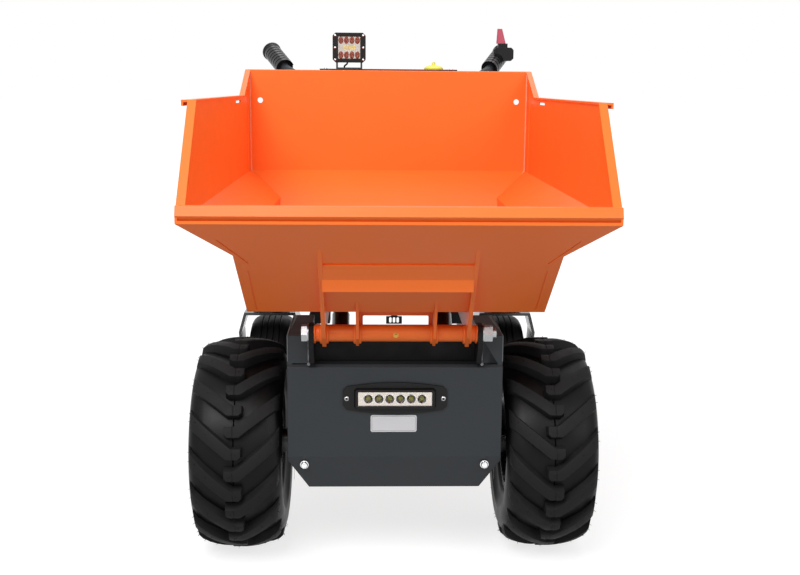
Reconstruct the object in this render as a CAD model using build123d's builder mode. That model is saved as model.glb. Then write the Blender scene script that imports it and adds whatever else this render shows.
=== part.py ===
from build123d import *
import os

# Site dumper: a front-tipping skip on two driven wheels, two swivel casters behind,
# an open engine over the casters and a pair of handlebars for a walking operator.
# Frame: +Z up, the machine looks along -Y, the origin is on the ground under its middle.

# Driving dimensions, mm
WALL = 4.0  # skip sheet
TUB_HALF = 386.0  # skip side wall, outer face from the middle
PIVOT_Y = -524.0
PIVOT_Z = 516.5
FRONT_AXLE_Y = -330.0
FRONT_TYRE_R = 228.5
TRACK_HALF = 327.0
CASTER_Y = 434.0  # swivel axis
CASTER_WHEEL_Y = 504.0
CASTER_X = 335.0
CASTER_TYRE_R = 165.0
RAIL_INNER_X = 184.0
RAIL_OUTER_X = 208.0
SIDE_PLATE_T = 10.0
LIFT_X = 118.0
LIFT_BASE = (-435.0, 270.0)  # y, z of the lower pin
LIFT_EYE = (-135.0, 505.0)  # y, z of the rod's eye, skip down
LIFT_LENGTH = 381.08  # pin to eye, skip down
CONSOLE_Z = 1043.0

os.makedirs("parts", exist_ok=True)


# ---------------------------------------------------------------- skip

# Side outline of the tub and of what is kept of its walls: y, z
TUB_PROFILE = (
    (-569.4, 569.0),
    (91.7, 569.0),
    (412.0, 765.0),
    (412.0, 1300.0),
    (-1336.0, 1300.0),
)
WALL_KEEP = (
    (-900.0, 500.0),
    (500.0, 500.0),
    (500.0, 1041.0),
    (412.0, 1041.0),
    (260.0, 972.0),
    (-606.0, 972.0),
    (-775.0, 779.0),
    (-775.0, 765.0),
    (-900.0, 765.0),
)
# Cross section of the tub: x, z
TUB_SECTION = (
    (-386.0, 1200.0),
    (-386.0, 765.0),
    (-297.0, 700.0),
    (-288.6, 569.0),
    (288.6, 569.0),
    (297.0, 700.0),
    (386.0, 765.0),
    (386.0, 1200.0),
)
# Rolled lip across the chute: y, z
LIP = (
    (-758.0, 796.0),
    (-771.0, 796.0),
    (-777.0, 779.0),
    (-768.0, 767.0),
    (-744.0, 765.0),
    (-752.0, 779.0),
)
# Folded top edge of each side: y and z of its ends, and how far it stands out
TOP_EDGE_DEPTH = 11.0
TOP_EDGES = (
    (-606.0, 972.0, 262.0, 972.0, 12.0),
    (258.0, 971.0, 412.0, 1041.0, 8.0),
)
# Chute seams: y, z, x of one end, then of the other
SEAMS = (
    (-741.0, 732.6, 320.0, -690.0, 684.0, 272.0),
    (-672.0, 666.8, 273.0, -576.0, 575.2, 269.5),
)
BACK_HOLES_X = (-354.0, 354.0)
BACK_HOLES_Z = 958.0
# Strap slot through each side wall: y and z of its middle, length, height
STRAP_SLOT = (140.0, 957.5, 100.0, 6.0)

with BuildPart(mode=Mode.PRIVATE) as tub_outer:
    with BuildSketch(Plane.YZ):
        with BuildLine():
            Polyline(*TUB_PROFILE, close=True)
        make_face()
    extrude(amount=500.0, both=True)
    with BuildSketch(Plane.XZ):
        with BuildLine():
            Polyline(*TUB_SECTION, close=True)
        make_face()
    extrude(amount=1400.0, both=True, mode=Mode.INTERSECT)

with BuildPart(mode=Mode.PRIVATE) as tub_inner:
    with BuildSketch(Plane.YZ):
        with BuildLine():
            Polyline(*TUB_PROFILE, close=True)
        make_face()
        offset(amount=-WALL, kind=Kind.INTERSECTION)
    extrude(amount=500.0, both=True)
    with BuildSketch(Plane.XZ):
        with BuildLine():
            Polyline(*TUB_SECTION, close=True)
        make_face()
        offset(amount=-WALL, kind=Kind.INTERSECTION)
    extrude(amount=1400.0, both=True, mode=Mode.INTERSECT)

with BuildPart() as skip_shell:
    add(tub_outer.part)
    add(tub_inner.part, mode=Mode.SUBTRACT)
    with BuildSketch(Plane.YZ):
        with BuildLine():
            Polyline(*WALL_KEEP, close=True)
        make_face()
    extrude(amount=500.0, both=True, mode=Mode.INTERSECT)
    with BuildSketch(Plane.YZ):
        with BuildLine():
            Polyline(*LIP, close=True)
        make_face()
    extrude(amount=TUB_HALF, both=True)
    for y_a, z_a, y_b, z_b, out in TOP_EDGES:
        for side in (-1.0, 1.0):
            with BuildSketch(Plane.YZ.offset(side * (TUB_HALF - WALL + out / 2.0))):
                with BuildLine():
                    Polyline((y_a, z_a), (y_b, z_b), (y_b, z_b - WALL), (y_a, z_a - WALL), close=True)
                make_face()
            extrude(amount=(out + WALL) / 2.0, both=True)
            with BuildSketch(Plane.YZ.offset(side * (TUB_HALF + out - WALL / 2.0))):
                with BuildLine():
                    Polyline(
                        (y_a, z_a),
                        (y_b, z_b),
                        (y_b, z_b - TOP_EDGE_DEPTH),
                        (y_a, z_a - TOP_EDGE_DEPTH),
                        close=True,
                    )
                make_face()
            extrude(amount=WALL / 2.0, both=True)
    # front edge of each wing, folded in
    for side in (-1.0, 1.0):
        with BuildSketch(Plane.YZ.offset(side * (TUB_HALF - 8.0))):
            with BuildLine():
                Polyline((-775.0, 779.0), (-606.0, 972.0), (-600.0, 972.0), (-769.0, 779.0), close=True)
            make_face()
        extrude(amount=8.0, both=True)
    # back wall's top edge, folded out
    with Locations((0.0, 418.0, 1039.0)):
        Box(2.0 * TUB_HALF, 14.0, WALL)
    with Locations((0.0, 423.0, 1034.0)):
        Box(2.0 * TUB_HALF, WALL, 14.0)
    # seam between the chute plate and the folded edge of each side
    for y_a, z_a, x_a, y_b, z_b, x_b in SEAMS:
        for side in (-1.0, 1.0):
            start = Vector(side * x_a, y_a, z_a)
            end = Vector(side * x_b, y_b, z_b)
            with BuildSketch(Plane(start, x_dir=(1.0, 0.0, 0.0), z_dir=end - start)):
                Rectangle(3.0, 3.0)
            extrude(amount=(end - start).length, mode=Mode.SUBTRACT)
    with Locations(*[(x, 410.0, BACK_HOLES_Z) for x in BACK_HOLES_X]):
        Cylinder(7.5, 20.0, rotation=(90.0, 0.0, 0.0), mode=Mode.SUBTRACT)
    slot_y, slot_z, slot_long, slot_high = STRAP_SLOT
    for side in (-1.0, 1.0):
        with BuildSketch(Plane.YZ.offset(side * (TUB_HALF - WALL / 2.0))):
            with Locations((slot_y, slot_z)):
                SlotOverall(slot_long, slot_high)
        extrude(amount=WALL, both=True, mode=Mode.SUBTRACT)

skip_shell.part.label = "skip_shell"
export_step(skip_shell.part, "parts/skip_shell.step")

# Plates under the skip: middle x, thickness, outline (y, z)
LONG_RIB = (
    (-763.0, 764.0),
    (-553.0, 512.0),
    (-524.0, 488.0),
    (-496.0, 496.0),
    (-470.0, 520.0),
    (60.0, 530.0),
    (60.0, 600.0),
    (-560.0, 700.0),
    (-763.0, 800.0),
)
SHORT_RIB = (
    (-606.0, 612.0),
    (-550.0, 510.0),
    (-524.0, 490.0),
    (-498.0, 500.0),
    (-480.0, 520.0),
    (-480.0, 600.0),
    (-560.0, 640.0),
)
RIBS = (
    (-142.0, 8.0, LONG_RIB),
    (142.0, 8.0, LONG_RIB),
    (-76.0, 6.0, SHORT_RIB),
    (76.0, 6.0, SHORT_RIB),
)
# Cheeks beside each lift cylinder's eye: middle x, thickness
CHEEKS = (
    (LIFT_X - 16.0, 6.0),
    (LIFT_X + 16.5, 7.0),
)
CROSS_BEAM = (
    (-684.0, 682.0),
    (-690.0, 680.0),
    (-668.0, 650.0),
    (-664.0, 626.0),
    (-622.0, 626.0),
    (-600.0, 640.0),
)

with BuildPart() as pivot_tube:
    with Locations((0.0, PIVOT_Y, PIVOT_Z)):
        Cylinder(17.0, 320.0, rotation=(0.0, 90.0, 0.0))
        Cylinder(10.5, 400.0, rotation=(0.0, 90.0, 0.0), mode=Mode.SUBTRACT)

pivot_tube.part.label = "pivot_tube"
export_step(pivot_tube.part, "parts/pivot_tube.step")

with BuildPart() as skip_underframe:
    for x_mid, thick, outline in RIBS:
        with BuildSketch(Plane.YZ.offset(x_mid)):
            with BuildLine():
                Polyline(*outline, close=True)
            make_face()
        extrude(amount=thick / 2.0, both=True)
    with BuildSketch(Plane.YZ):
        with BuildLine():
            Polyline(*CROSS_BEAM, close=True)
        make_face()
    extrude(amount=140.0, both=True)
    # cheeks that hold each lift cylinder's eye
    for side in (-1.0, 1.0):
        for x_mid, thick in CHEEKS:
            with BuildSketch(Plane.YZ.offset(side * x_mid)):
                with BuildLine():
                    Polyline((-177.0, 580.0), (-160.0, 500.0), (-110.0, 500.0), (-93.0, 580.0), close=True)
                make_face()
                with Locations(LIFT_EYE):
                    Circle(25.0)
                    Circle(8.5, mode=Mode.SUBTRACT)
            extrude(amount=thick / 2.0, both=True)
        with Locations((side * LIFT_X, -135.0, 563.0)):
            Box(40.0, 80.0, 14.0)
    # pad that rests on the frame
    for side in (-1.0, 1.0):
        with Locations((side * 158.0, 36.0, 545.0)):
            Box(56.0, 48.0, 50.0)
    # plate between the short ribs, over the tube, with its long window
    with Locations((0.0, -512.0, 547.0)):
        Box(152.0, 6.0, 50.0)
    with BuildSketch(Plane.XZ.offset(512.0)):
        with Locations((0.0, 538.5)):
            RectangleRounded(131.0, 23.0, 3.0)
    extrude(amount=10.0, both=True, mode=Mode.SUBTRACT)
    add(tub_outer.part, mode=Mode.SUBTRACT)
    with Locations((0.0, PIVOT_Y, PIVOT_Z)):
        Cylinder(17.0, 320.0, rotation=(0.0, 90.0, 0.0), mode=Mode.SUBTRACT)

skip_underframe.part.label = "skip_underframe"
export_step(skip_underframe.part, "parts/skip_underframe.step")


# ---------------------------------------------------------------- chassis, front

COVER_FRONT = (
    (-218.0, 450.0),
    (-219.0, 243.0),
    (-177.0, 178.0),
    (177.0, 178.0),
    (219.0, 243.0),
    (218.0, 450.0),
)
COVER_SIDE = (
    (-480.0, 448.0),
    (-499.0, 446.0),
    (-505.0, 440.0),
    (-505.0, 252.0),
    (-482.0, 178.0),
    (-478.0, 178.0),
    (-501.0, 252.0),
    (-501.0, 438.0),
    (-497.0, 442.0),
    (-480.0, 444.0),
)
with BuildPart() as front_cover:
    with BuildSketch(Plane.YZ):
        with BuildLine():
            Polyline(*COVER_SIDE, close=True)
        make_face()
    extrude(amount=230.0, both=True)
    with BuildSketch(Plane.XZ.offset(400.0)):
        with BuildLine():
            Polyline(*COVER_FRONT, close=True)
        make_face()
    extrude(amount=200.0, mode=Mode.INTERSECT)
    for side in (-1.0, 1.0):
        with Locations((side * 220.0, -450.0, 448.0)):
            Box(24.0, 100.0, 20.0, mode=Mode.SUBTRACT)

front_cover.part.label = "front_cover"
export_step(front_cover.part, "parts/front_cover.step")

SIDE_PLATE = (
    (-300.0, 505.0),
    (-500.0, 505.0),
    (-500.0, 252.0),
    (-480.0, 240.0),
    (-400.0, 200.0),
    (-340.0, 178.0),
    (-250.0, 178.0),
    (-190.0, 250.0),
    (-160.0, 366.0),
    (-160.0, 416.0),
    (-240.0, 470.0),
)
# Plates that close a box beside each ear: middle x, y, z, then their sizes
BEAM_PLATES = (
    (190.25, -497.5, 476.5, 35.5, 5.0, 57.0),
    (190.25, -397.5, 502.5, 35.5, 195.0, 5.0),
    (175.0, -390.0, 460.0, 5.0, 180.0, 80.0),
)
LUG = (
    (-472.0, 245.0),
    (-435.0, 245.0),
    (-435.0, 295.0),
    (-472.0, 310.0),
)
with BuildPart() as front_subframe:
    for side in (-1.0, 1.0):
        with BuildSketch(Plane.YZ.offset(side * (RAIL_OUTER_X + SIDE_PLATE_T / 2.0))):
            with BuildLine():
                Polyline(*SIDE_PLATE, close=True)
            make_face()
        extrude(amount=SIDE_PLATE_T / 2.0, both=True)
        with Locations((side * 221.0, FRONT_AXLE_Y, FRONT_TYRE_R)):
            Cylinder(40.0, 6.0, rotation=(0.0, 90.0, 0.0))
        for x_mid, y_mid, z_mid, wide, deep, high in BEAM_PLATES:
            with Locations((side * x_mid, y_mid, z_mid)):
                Box(wide, deep, high)
    # bulkhead between the side plates
    with Locations((0.0, -476.0, 306.0)):
        Box(2.0 * RAIL_OUTER_X, 8.0, 228.0)
    # lower pins of the lift cylinders
    for side in (-1.0, 1.0):
        for x_mid in (LIFT_X - 15.0, LIFT_X + 15.0):
            with BuildSketch(Plane.YZ.offset(side * x_mid)):
                with BuildLine():
                    Polyline(*LUG, close=True)
                make_face()
                with Locations(LIFT_BASE):
                    Circle(18.0)
            extrude(amount=3.0, both=True)
        with Locations((side * LIFT_X, LIFT_BASE[0], LIFT_BASE[1])):
            Cylinder(8.0, 36.0, rotation=(0.0, 90.0, 0.0))

front_subframe.part.label = "front_subframe"
export_step(front_subframe.part, "parts/front_subframe.step")

EAR = (
    (-548.0, 520.0),
    (-538.0, 534.0),
    (-506.0, 534.0),
    (-460.0, 505.0),
    (-460.0, 420.0),
    (-479.0, 420.0),
    (-479.0, 452.0),
    (-520.0, 452.0),
    (-545.0, 490.0),
)
with BuildPart() as pivot_ears:
    for side in (-1.0, 1.0):
        with BuildSketch(Plane.YZ.offset(side * 167.5)):
            with BuildLine():
                Polyline(*EAR, close=True)
            make_face()
            with Locations((PIVOT_Y, PIVOT_Z)):
                Circle(10.2, mode=Mode.SUBTRACT)
        extrude(amount=5.0, both=True)
    # back plate between the ears
    with Locations((0.0, -469.0, 462.5)):
        Box(335.0, 6.0, 85.0)

pivot_ears.part.label = "pivot_ears"
export_step(pivot_ears.part, "parts/pivot_ears.step")

# Hexagons on the pivot bolt, its head and its nut: x of the two ends, across corners
PIVOT_HEXES = (
    (-187.0, -175.5, 34.6),
    (175.5, 192.5, 34.6),
)
with BuildPart() as pivot_pin:
    with Locations((10.0, PIVOT_Y, PIVOT_Z)):
        Cylinder(10.0, 380.0, rotation=(0.0, 90.0, 0.0))
    for side in (-1.0, 1.0):
        with Locations((side * 174.0, PIVOT_Y, PIVOT_Z)):
            Cylinder(18.5, 3.0, rotation=(0.0, 90.0, 0.0))
    for x_a, x_b, corners in PIVOT_HEXES:
        with BuildSketch(Plane.YZ.offset(x_a)):
            with Locations((PIVOT_Y, PIVOT_Z)):
                RegularPolygon(corners / 2.0, 6)
        extrude(amount=x_b - x_a)

pivot_pin.part.label = "pivot_pin"
export_step(pivot_pin.part, "parts/pivot_pin.step")

with BuildPart() as transaxle:
    with Locations((0.0, FRONT_AXLE_Y, FRONT_TYRE_R)):
        Box(150.0, 150.0, 140.0)
        Cylinder(82.0, 110.0, rotation=(0.0, 90.0, 0.0))
        Cylinder(31.0, 2.0 * RAIL_OUTER_X, rotation=(0.0, 90.0, 0.0))
    with Locations((-185.0, FRONT_AXLE_Y, FRONT_TYRE_R), (185.0, FRONT_AXLE_Y, FRONT_TYRE_R)):
        Cylinder(48.0, 14.0, rotation=(0.0, 90.0, 0.0))
    with Locations((30.0, -235.0, 235.0)):
        Cylinder(28.0, 60.0, rotation=(90.0, 0.0, 0.0))

transaxle.part.label = "transaxle"
export_step(transaxle.part, "parts/transaxle.step")


# ---------------------------------------------------------------- chassis, rear

# Guide seen from ahead: x, z
CABLE_GUIDE = (
    (-3.5, 322.0),
    (42.5, 322.0),
    (42.5, 344.0),
    (30.0, 344.0),
    (24.0, 350.0),
    (24.0, 386.0),
    (15.0, 386.0),
    (15.0, 350.0),
    (10.0, 344.0),
    (-3.5, 344.0),
)
GUIDE_SLOTS_X = (8.8, 19.5, 30.2)

with BuildPart() as main_frame:
    for side in (-1.0, 1.0):
        x_mid = side * (RAIL_INNER_X + RAIL_OUTER_X) / 2.0
        with Locations((x_mid, 115.0, 391.0)):
            Box(24.0, 1170.0, 50.0)
        # pad over each caster
        with Locations((side * CASTER_X, CASTER_Y, 378.0)):
            Box(100.0, 100.0, 12.0)
        # stop under the skip
        with Locations((side * 175.0, 36.0, 448.0)):
            Box(50.0, 50.0, 64.0)
    with Locations((0.0, CASTER_Y, 400.0)):
        Box(770.0, 60.0, 32.0)
    # cable guide that hangs from the caster beam
    with BuildSketch(Plane.XZ.offset(-CASTER_Y)):
        with BuildLine():
            Polyline(*CABLE_GUIDE, close=True)
        make_face()
        with Locations(*[(x, 333.0) for x in GUIDE_SLOTS_X]):
            SlotOverall(16.0, 7.0, rotation=90.0, mode=Mode.SUBTRACT)
    extrude(amount=2.5, both=True)
    with Locations((0.0, 676.0, 391.0)):
        Box(2.0 * RAIL_INNER_X, 40.0, 50.0)

main_frame.part.label = "main_frame"
export_step(main_frame.part, "parts/main_frame.step")

with BuildPart() as skip_stops:
    for side in (-1.0, 1.0):
        with Locations((side * 165.0, 36.0, 496.0)):
            Cylinder(20.0, 32.0)

skip_stops.part.label = "skip_stops"
export_step(skip_stops.part, "parts/skip_stops.step")

with BuildPart() as engine_deck:
    with Locations((0.0, 572.0, 419.0)):
        Box(400.0, 256.0, 6.0)

engine_deck.part.label = "engine_deck"
export_step(engine_deck.part, "parts/engine_deck.step")

# Engine, single cylinder, crank along X
CRANK_Y = 588.0
CRANK_Z = 516.0
HEAD_X = -20.0
HEAD_Y = 600.0
FIN_COUNT = 9
FIN_PITCH = 12.0

with BuildPart() as engine_block:
    with Locations((HEAD_X, CRANK_Y, 488.0)):
        Box(196.0, 150.0, 132.0)
    chamfer(engine_block.edges().filter_by(Axis.Z), 14.0)
    with Locations((HEAD_X, HEAD_Y, 614.0)):
        Box(96.0, 96.0, 122.0)
    for step in range(FIN_COUNT):
        with Locations((HEAD_X, HEAD_Y, 566.0 + step * FIN_PITCH)):
            Box(136.0, 126.0, 4.0)
    with Locations((HEAD_X, HEAD_Y, 677.0)):
        Box(104.0, 104.0, 8.0)
    # oil filler and drain bosses
    with Locations((HEAD_X + 60.0, 508.0, 452.0)):
        Cylinder(13.0, 20.0, rotation=(90.0, 0.0, 0.0))
    with Locations((HEAD_X - 60.0, 668.0, 440.0)):
        Cylinder(11.0, 18.0, rotation=(90.0, 0.0, 0.0))

engine_block.part.label = "engine_block"
export_step(engine_block.part, "parts/engine_block.step")

# Fan housing with its pull starter: distance out from its back face, radius
SHROUD_PROFILE = (
    (0.0, 0.0),
    (0.0, 92.0),
    (34.0, 92.0),
    (46.0, 80.0),
    (50.0, 62.0),
    (66.0, 58.0),
    (70.0, 50.0),
    (70.0, 0.0),
)
SLOT_COUNT = 16

with BuildPart() as engine_shroud:
    with BuildSketch(Plane.XY):
        with BuildLine():
            Polyline(*[(-a, r) for a, r in SHROUD_PROFILE], close=True)
        make_face()
    revolve(axis=Axis.X)
    # air slots round the starter
    with BuildSketch(Plane.YZ.offset(-80.0)):
        with PolarLocations(71.0, SLOT_COUNT):
            Rectangle(14.0, 7.0)
    extrude(amount=50.0, mode=Mode.SUBTRACT)
    with BuildSketch(Plane.YZ.offset(-80.0)):
        with PolarLocations(36.0, 10):
            Rectangle(20.0, 6.0)
    extrude(amount=16.0, mode=Mode.SUBTRACT)
engine_shroud.part.position = (HEAD_X - 98.0, CRANK_Y, CRANK_Z)

engine_shroud.part.label = "engine_shroud"
export_step(engine_shroud.part, "parts/engine_shroud.step")

with BuildPart() as fuel_tank:
    with Locations((HEAD_X, 572.0, 735.0)):
        Box(226.0, 186.0, 78.0)
    chamfer(fuel_tank.edges().filter_by(Axis.Z), 26.0)
    chamfer(fuel_tank.faces().sort_by(Axis.Z)[-1].edges(), 16.0)
    # pressed seam round the middle
    with BuildSketch(Plane.XY.offset(728.0)):
        with Locations((HEAD_X, 572.0)):
            Rectangle(238.0, 198.0)
        chamfer(vertices(), 30.0)
    extrude(amount=4.0)
    with Locations((HEAD_X - 40.0, 572.0, 782.0)):
        Cylinder(27.0, 18.0)
    # feet on the cylinder head
    with Locations((HEAD_X - 40.0, 600.0, 688.5), (HEAD_X + 40.0, 600.0, 688.5)):
        Box(16.0, 90.0, 15.0)

fuel_tank.part.label = "fuel_tank"
export_step(fuel_tank.part, "parts/fuel_tank.step")

with BuildPart() as air_cleaner:
    with Locations((110.0, 584.0, 620.0)):
        Box(78.0, 118.0, 96.0)
    chamfer(air_cleaner.edges().filter_by(Axis.X), 18.0)
    with Locations((155.0, 584.0, 620.0)):
        Cylinder(16.0, 14.0, rotation=(0.0, 90.0, 0.0))
    # carburettor and its elbow to the head
    with Locations((59.5, 600.0, 604.0)):
        Box(23.0, 44.0, 50.0)

air_cleaner.part.label = "air_cleaner"
export_step(air_cleaner.part, "parts/air_cleaner.step")

with BuildPart() as muffler:
    with Locations((HEAD_X, 700.0, 612.0)):
        Box(160.0, 58.0, 96.0)
    chamfer(muffler.edges().filter_by(Axis.X), 16.0)
    with Locations((HEAD_X + 10.0, 667.0, 612.0)):
        Box(46.0, 8.0, 46.0)
    with Locations((HEAD_X - 86.0, 706.0, 600.0)):
        Cylinder(12.0, 24.0, rotation=(0.0, 90.0, 0.0))
        Cylinder(9.5, 40.0, rotation=(0.0, 90.0, 0.0), mode=Mode.SUBTRACT)

muffler.part.label = "muffler"
export_step(muffler.part, "parts/muffler.step")

with BuildPart() as hydraulic_pump:
    with Locations((96.0, CRANK_Y, CRANK_Z)):
        Box(36.0, 96.0, 96.0)
    chamfer(hydraulic_pump.edges().filter_by(Axis.X), 22.0)
    with Locations((138.0, CRANK_Y, CRANK_Z)):
        Box(48.0, 84.0, 70.0)
    with Locations((167.0, CRANK_Y, CRANK_Z)):
        Box(10.0, 92.0, 78.0)
    # suction and pressure ports
    with Locations((138.0, CRANK_Y - 46.0, CRANK_Z), (138.0, CRANK_Y + 46.0, CRANK_Z)):
        Cylinder(13.0, 14.0, rotation=(90.0, 0.0, 0.0))

hydraulic_pump.part.label = "hydraulic_pump"
export_step(hydraulic_pump.part, "parts/hydraulic_pump.step")

POST_X = 176.0
with BuildPart() as console_frame:
    for side in (-1.0, 1.0):
        with Locations((side * POST_X, 470.0, 731.0)):
            Box(28.0, 28.0, 618.0)
        with Locations((side * POST_X, 560.0, 1026.0)):
            Box(28.0, 152.0, 28.0)
        with BuildSketch(Plane.YZ.offset(side * POST_X)):
            with BuildLine():
                Polyline((484.0, 1012.0), (570.0, 1012.0), (484.0, 926.0), close=True)
            make_face()
        extrude(amount=3.0, both=True)
        with BuildSketch(Plane.YZ.offset(side * POST_X)):
            with BuildLine():
                Polyline((484.0, 422.0), (540.0, 422.0), (484.0, 500.0), close=True)
            make_face()
        extrude(amount=3.0, both=True)
    with Locations((0.0, 622.0, 1026.0)):
        Box(324.0, 28.0, 28.0)
    with Locations((0.0, 470.0, 846.0)):
        Box(324.0, 28.0, 28.0)

console_frame.part.label = "console_frame"
export_step(console_frame.part, "parts/console_frame.step")

FILLER_X = 129.0
FILLER_Y = 512.0
with BuildPart() as console_plate:
    with Locations((0.0, 540.0, CONSOLE_Z)):
        Box(384.0, 200.0, 4.0)
    chamfer(console_plate.edges().filter_by(Axis.Z), 12.0)
    with Locations((FILLER_X, FILLER_Y, CONSOLE_Z)):
        Cylinder(23.0, 20.0, mode=Mode.SUBTRACT)

console_plate.part.label = "console_plate"
export_step(console_plate.part, "parts/console_plate.step")

with BuildPart() as hydraulic_tank:
    with Locations((74.0, 540.0, 936.0)):
        Box(172.0, 108.0, 180.0)
    chamfer(hydraulic_tank.edges().filter_by(Axis.Z), 10.0)
    with Locations((FILLER_X, FILLER_Y, 1035.0)):
        Cylinder(22.0, 18.0)
    # hanger to the console plate
    with Locations((74.0, 592.0, 1016.0)):
        Box(120.0, 4.0, 50.0)

hydraulic_tank.part.label = "hydraulic_tank"
export_step(hydraulic_tank.part, "parts/hydraulic_tank.step")

with BuildPart() as filler_cap:
    with Locations((FILLER_X, FILLER_Y, 1052.0)):
        Cylinder(27.0, 14.0)
    with Locations((FILLER_X, FILLER_Y, 1063.0)):
        Cylinder(10.0, 8.0)

filler_cap.part.label = "filler_cap"
export_step(filler_cap.part, "parts/filler_cap.step")

# Valve levers: x of each, and their lean in degrees
LEVER_X = (-84.0, -56.0, -28.0)
LEVER_LEAN = -50.0
with BuildPart() as control_levers:
    with Locations((-56.0, 622.0, 985.0)):
        Box(104.0, 46.0, 54.0)
    for x_mid in LEVER_X:
        with Locations((x_mid, 650.0, 985.0)):
            Box(18.0, 12.0, 30.0)
        with Locations(Location((x_mid, 676.0, 1008.0), (LEVER_LEAN, 0.0, 0.0))):
            Cylinder(4.0, 66.0)
        with Locations(Location((x_mid, 700.0, 1028.0), (LEVER_LEAN, 0.0, 0.0))):
            Cylinder(9.0, 26.0)

control_levers.part.label = "control_levers"
export_step(control_levers.part, "parts/control_levers.step")

# Hoses from the pump: tag, radius and x, y, z of the corners
HOSES = (
    (
        "suction",
        9.0,
        (138.0, 535.0, 516.0),
        (138.0, 506.0, 516.0),
        (124.0, 500.0, 590.0),
        (124.0, 500.0, 700.0),
        (124.0, 540.0, 790.0),
        (124.0, 540.0, 846.0),
    ),
    (
        "pressure",
        7.0,
        (138.0, 641.0, 516.0),
        (138.0, 664.0, 516.0),
        (150.0, 664.0, 590.0),
        (150.0, 640.0, 930.0),
        (40.0, 622.0, 940.0),
        (20.0, 622.0, 975.0),
        (-4.0, 622.0, 975.0),
    ),
)
for tag, radius, *corners in HOSES:
    with BuildPart() as hose:
        with BuildLine() as hose_line:
            FilletPolyline(*corners, radius=10.0)
        with BuildSketch(Plane(hose_line.line @ 0, z_dir=hose_line.line % 0)):
            Circle(radius)
        sweep()
    hose.part.label = f"{tag}_hose"
    export_step(hose.part, f"parts/{tag}_hose.step")

LAMP_X = -110.0
LAMP_Z = 1103.0
with BuildPart() as lamp_bracket:
    for x_mid in (LAMP_X - 34.0, LAMP_X + 34.0):
        with Locations((x_mid, 466.0, 1053.75)):
            Box(5.0, 16.0, 17.5)
    with Locations((LAMP_X, 466.0, 1047.0)):
        Box(73.0, 16.0, 4.0)

lamp_bracket.part.label = "lamp_bracket"
export_step(lamp_bracket.part, "parts/lamp_bracket.step")

with BuildPart() as work_lamp:
    with Locations((LAMP_X, 462.0, LAMP_Z)):
        Box(92.0, 20.0, 81.0)
    chamfer(work_lamp.edges().filter_by(Axis.Y), 8.0)
    with Locations((LAMP_X, 477.0, LAMP_Z)):
        Box(74.0, 10.0, 64.0)
    # cooling ribs behind
    for step in range(7):
        with Locations((LAMP_X - 33.0 + 11.0 * step, 489.0, LAMP_Z)):
            Box(4.0, 14.0, 60.0)
    with Locations((LAMP_X, 453.0, LAMP_Z)):
        Box(62.0, 4.0, 60.0, mode=Mode.SUBTRACT)

work_lamp.part.label = "work_lamp"
export_step(work_lamp.part, "parts/work_lamp.step")

# Cable from under the lamp's back to the console plate: x, y, z of its corners
CABLE_PATH = (
    (-115.5, 477.0, 1071.0),
    (-115.5, 477.0, 1060.0),
    (-124.0, 483.0, 1053.0),
    (-124.0, 483.0, 1045.0),
)
with BuildPart() as lamp_cable:
    with BuildLine() as cable_line:
        FilletPolyline(*CABLE_PATH, radius=3.0)
    with BuildSketch(Plane(cable_line.line @ 0, z_dir=cable_line.line % 0)):
        Circle(2.3)
    sweep()
    with Locations((-124.0, 483.0, 1047.0)):
        Cylinder(5.5, 4.0)

lamp_cable.part.label = "lamp_cable"
export_step(lamp_cable.part, "parts/lamp_cable.step")

with BuildPart() as work_lamp_lens:
    with Locations((LAMP_X, 453.5, LAMP_Z)):
        Box(62.0, 3.0, 60.0)

work_lamp_lens.part.label = "work_lamp_lens"
export_step(work_lamp_lens.part, "parts/work_lamp_lens.step")

BAR_Z = 377.0
with BuildPart() as light_bar:
    with BuildSketch(Plane.XZ.offset(505.0)):
        with BuildLine():
            ThreePointArc((-98.0, BAR_Z + 24.0), (0.0, BAR_Z + 33.0), (98.0, BAR_Z + 24.0))
            Line((98.0, BAR_Z + 24.0), (106.0, BAR_Z + 15.0))
            Line((106.0, BAR_Z + 15.0), (106.0, BAR_Z - 15.0))
            Line((106.0, BAR_Z - 15.0), (98.0, BAR_Z - 24.0))
            ThreePointArc((98.0, BAR_Z - 24.0), (0.0, BAR_Z - 33.0), (-98.0, BAR_Z - 24.0))
            Line((-98.0, BAR_Z - 24.0), (-106.0, BAR_Z - 15.0))
            Line((-106.0, BAR_Z - 15.0), (-106.0, BAR_Z + 15.0))
            Line((-106.0, BAR_Z + 15.0), (-98.0, BAR_Z + 24.0))
        make_face()
    extrude(amount=5.0)
    with BuildSketch(Plane.XZ.offset(510.0)):
        with Locations((0.0, BAR_Z)):
            Rectangle(166.0, 45.0)
        chamfer(vertices(), 5.0)
    extrude(amount=8.0, taper=20.0)
    with Locations((0.0, -513.5, BAR_Z)):
        Box(150.0, 9.2, 30.0, mode=Mode.SUBTRACT)

light_bar.part.label = "light_bar"
export_step(light_bar.part, "parts/light_bar.step")

with BuildPart() as light_bar_lens:
    with Locations((0.0, -514.5, BAR_Z)):
        Box(150.0, 3.0, 30.0)
    with Locations((0.0, -511.0, BAR_Z)):
        Box(146.0, 4.0, 26.0)

light_bar_lens.part.label = "light_bar_lens"
export_step(light_bar_lens.part, "parts/light_bar_lens.step")

# Handlebars: x, y, z along each tube
BAR_PATH = (
    (190.0, 622.0, 1026.0),
    (268.0, 622.0, 1026.0),
    (298.0, 636.0, 1044.0),
    (356.4, 769.6, 1104.5),
)
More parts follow.
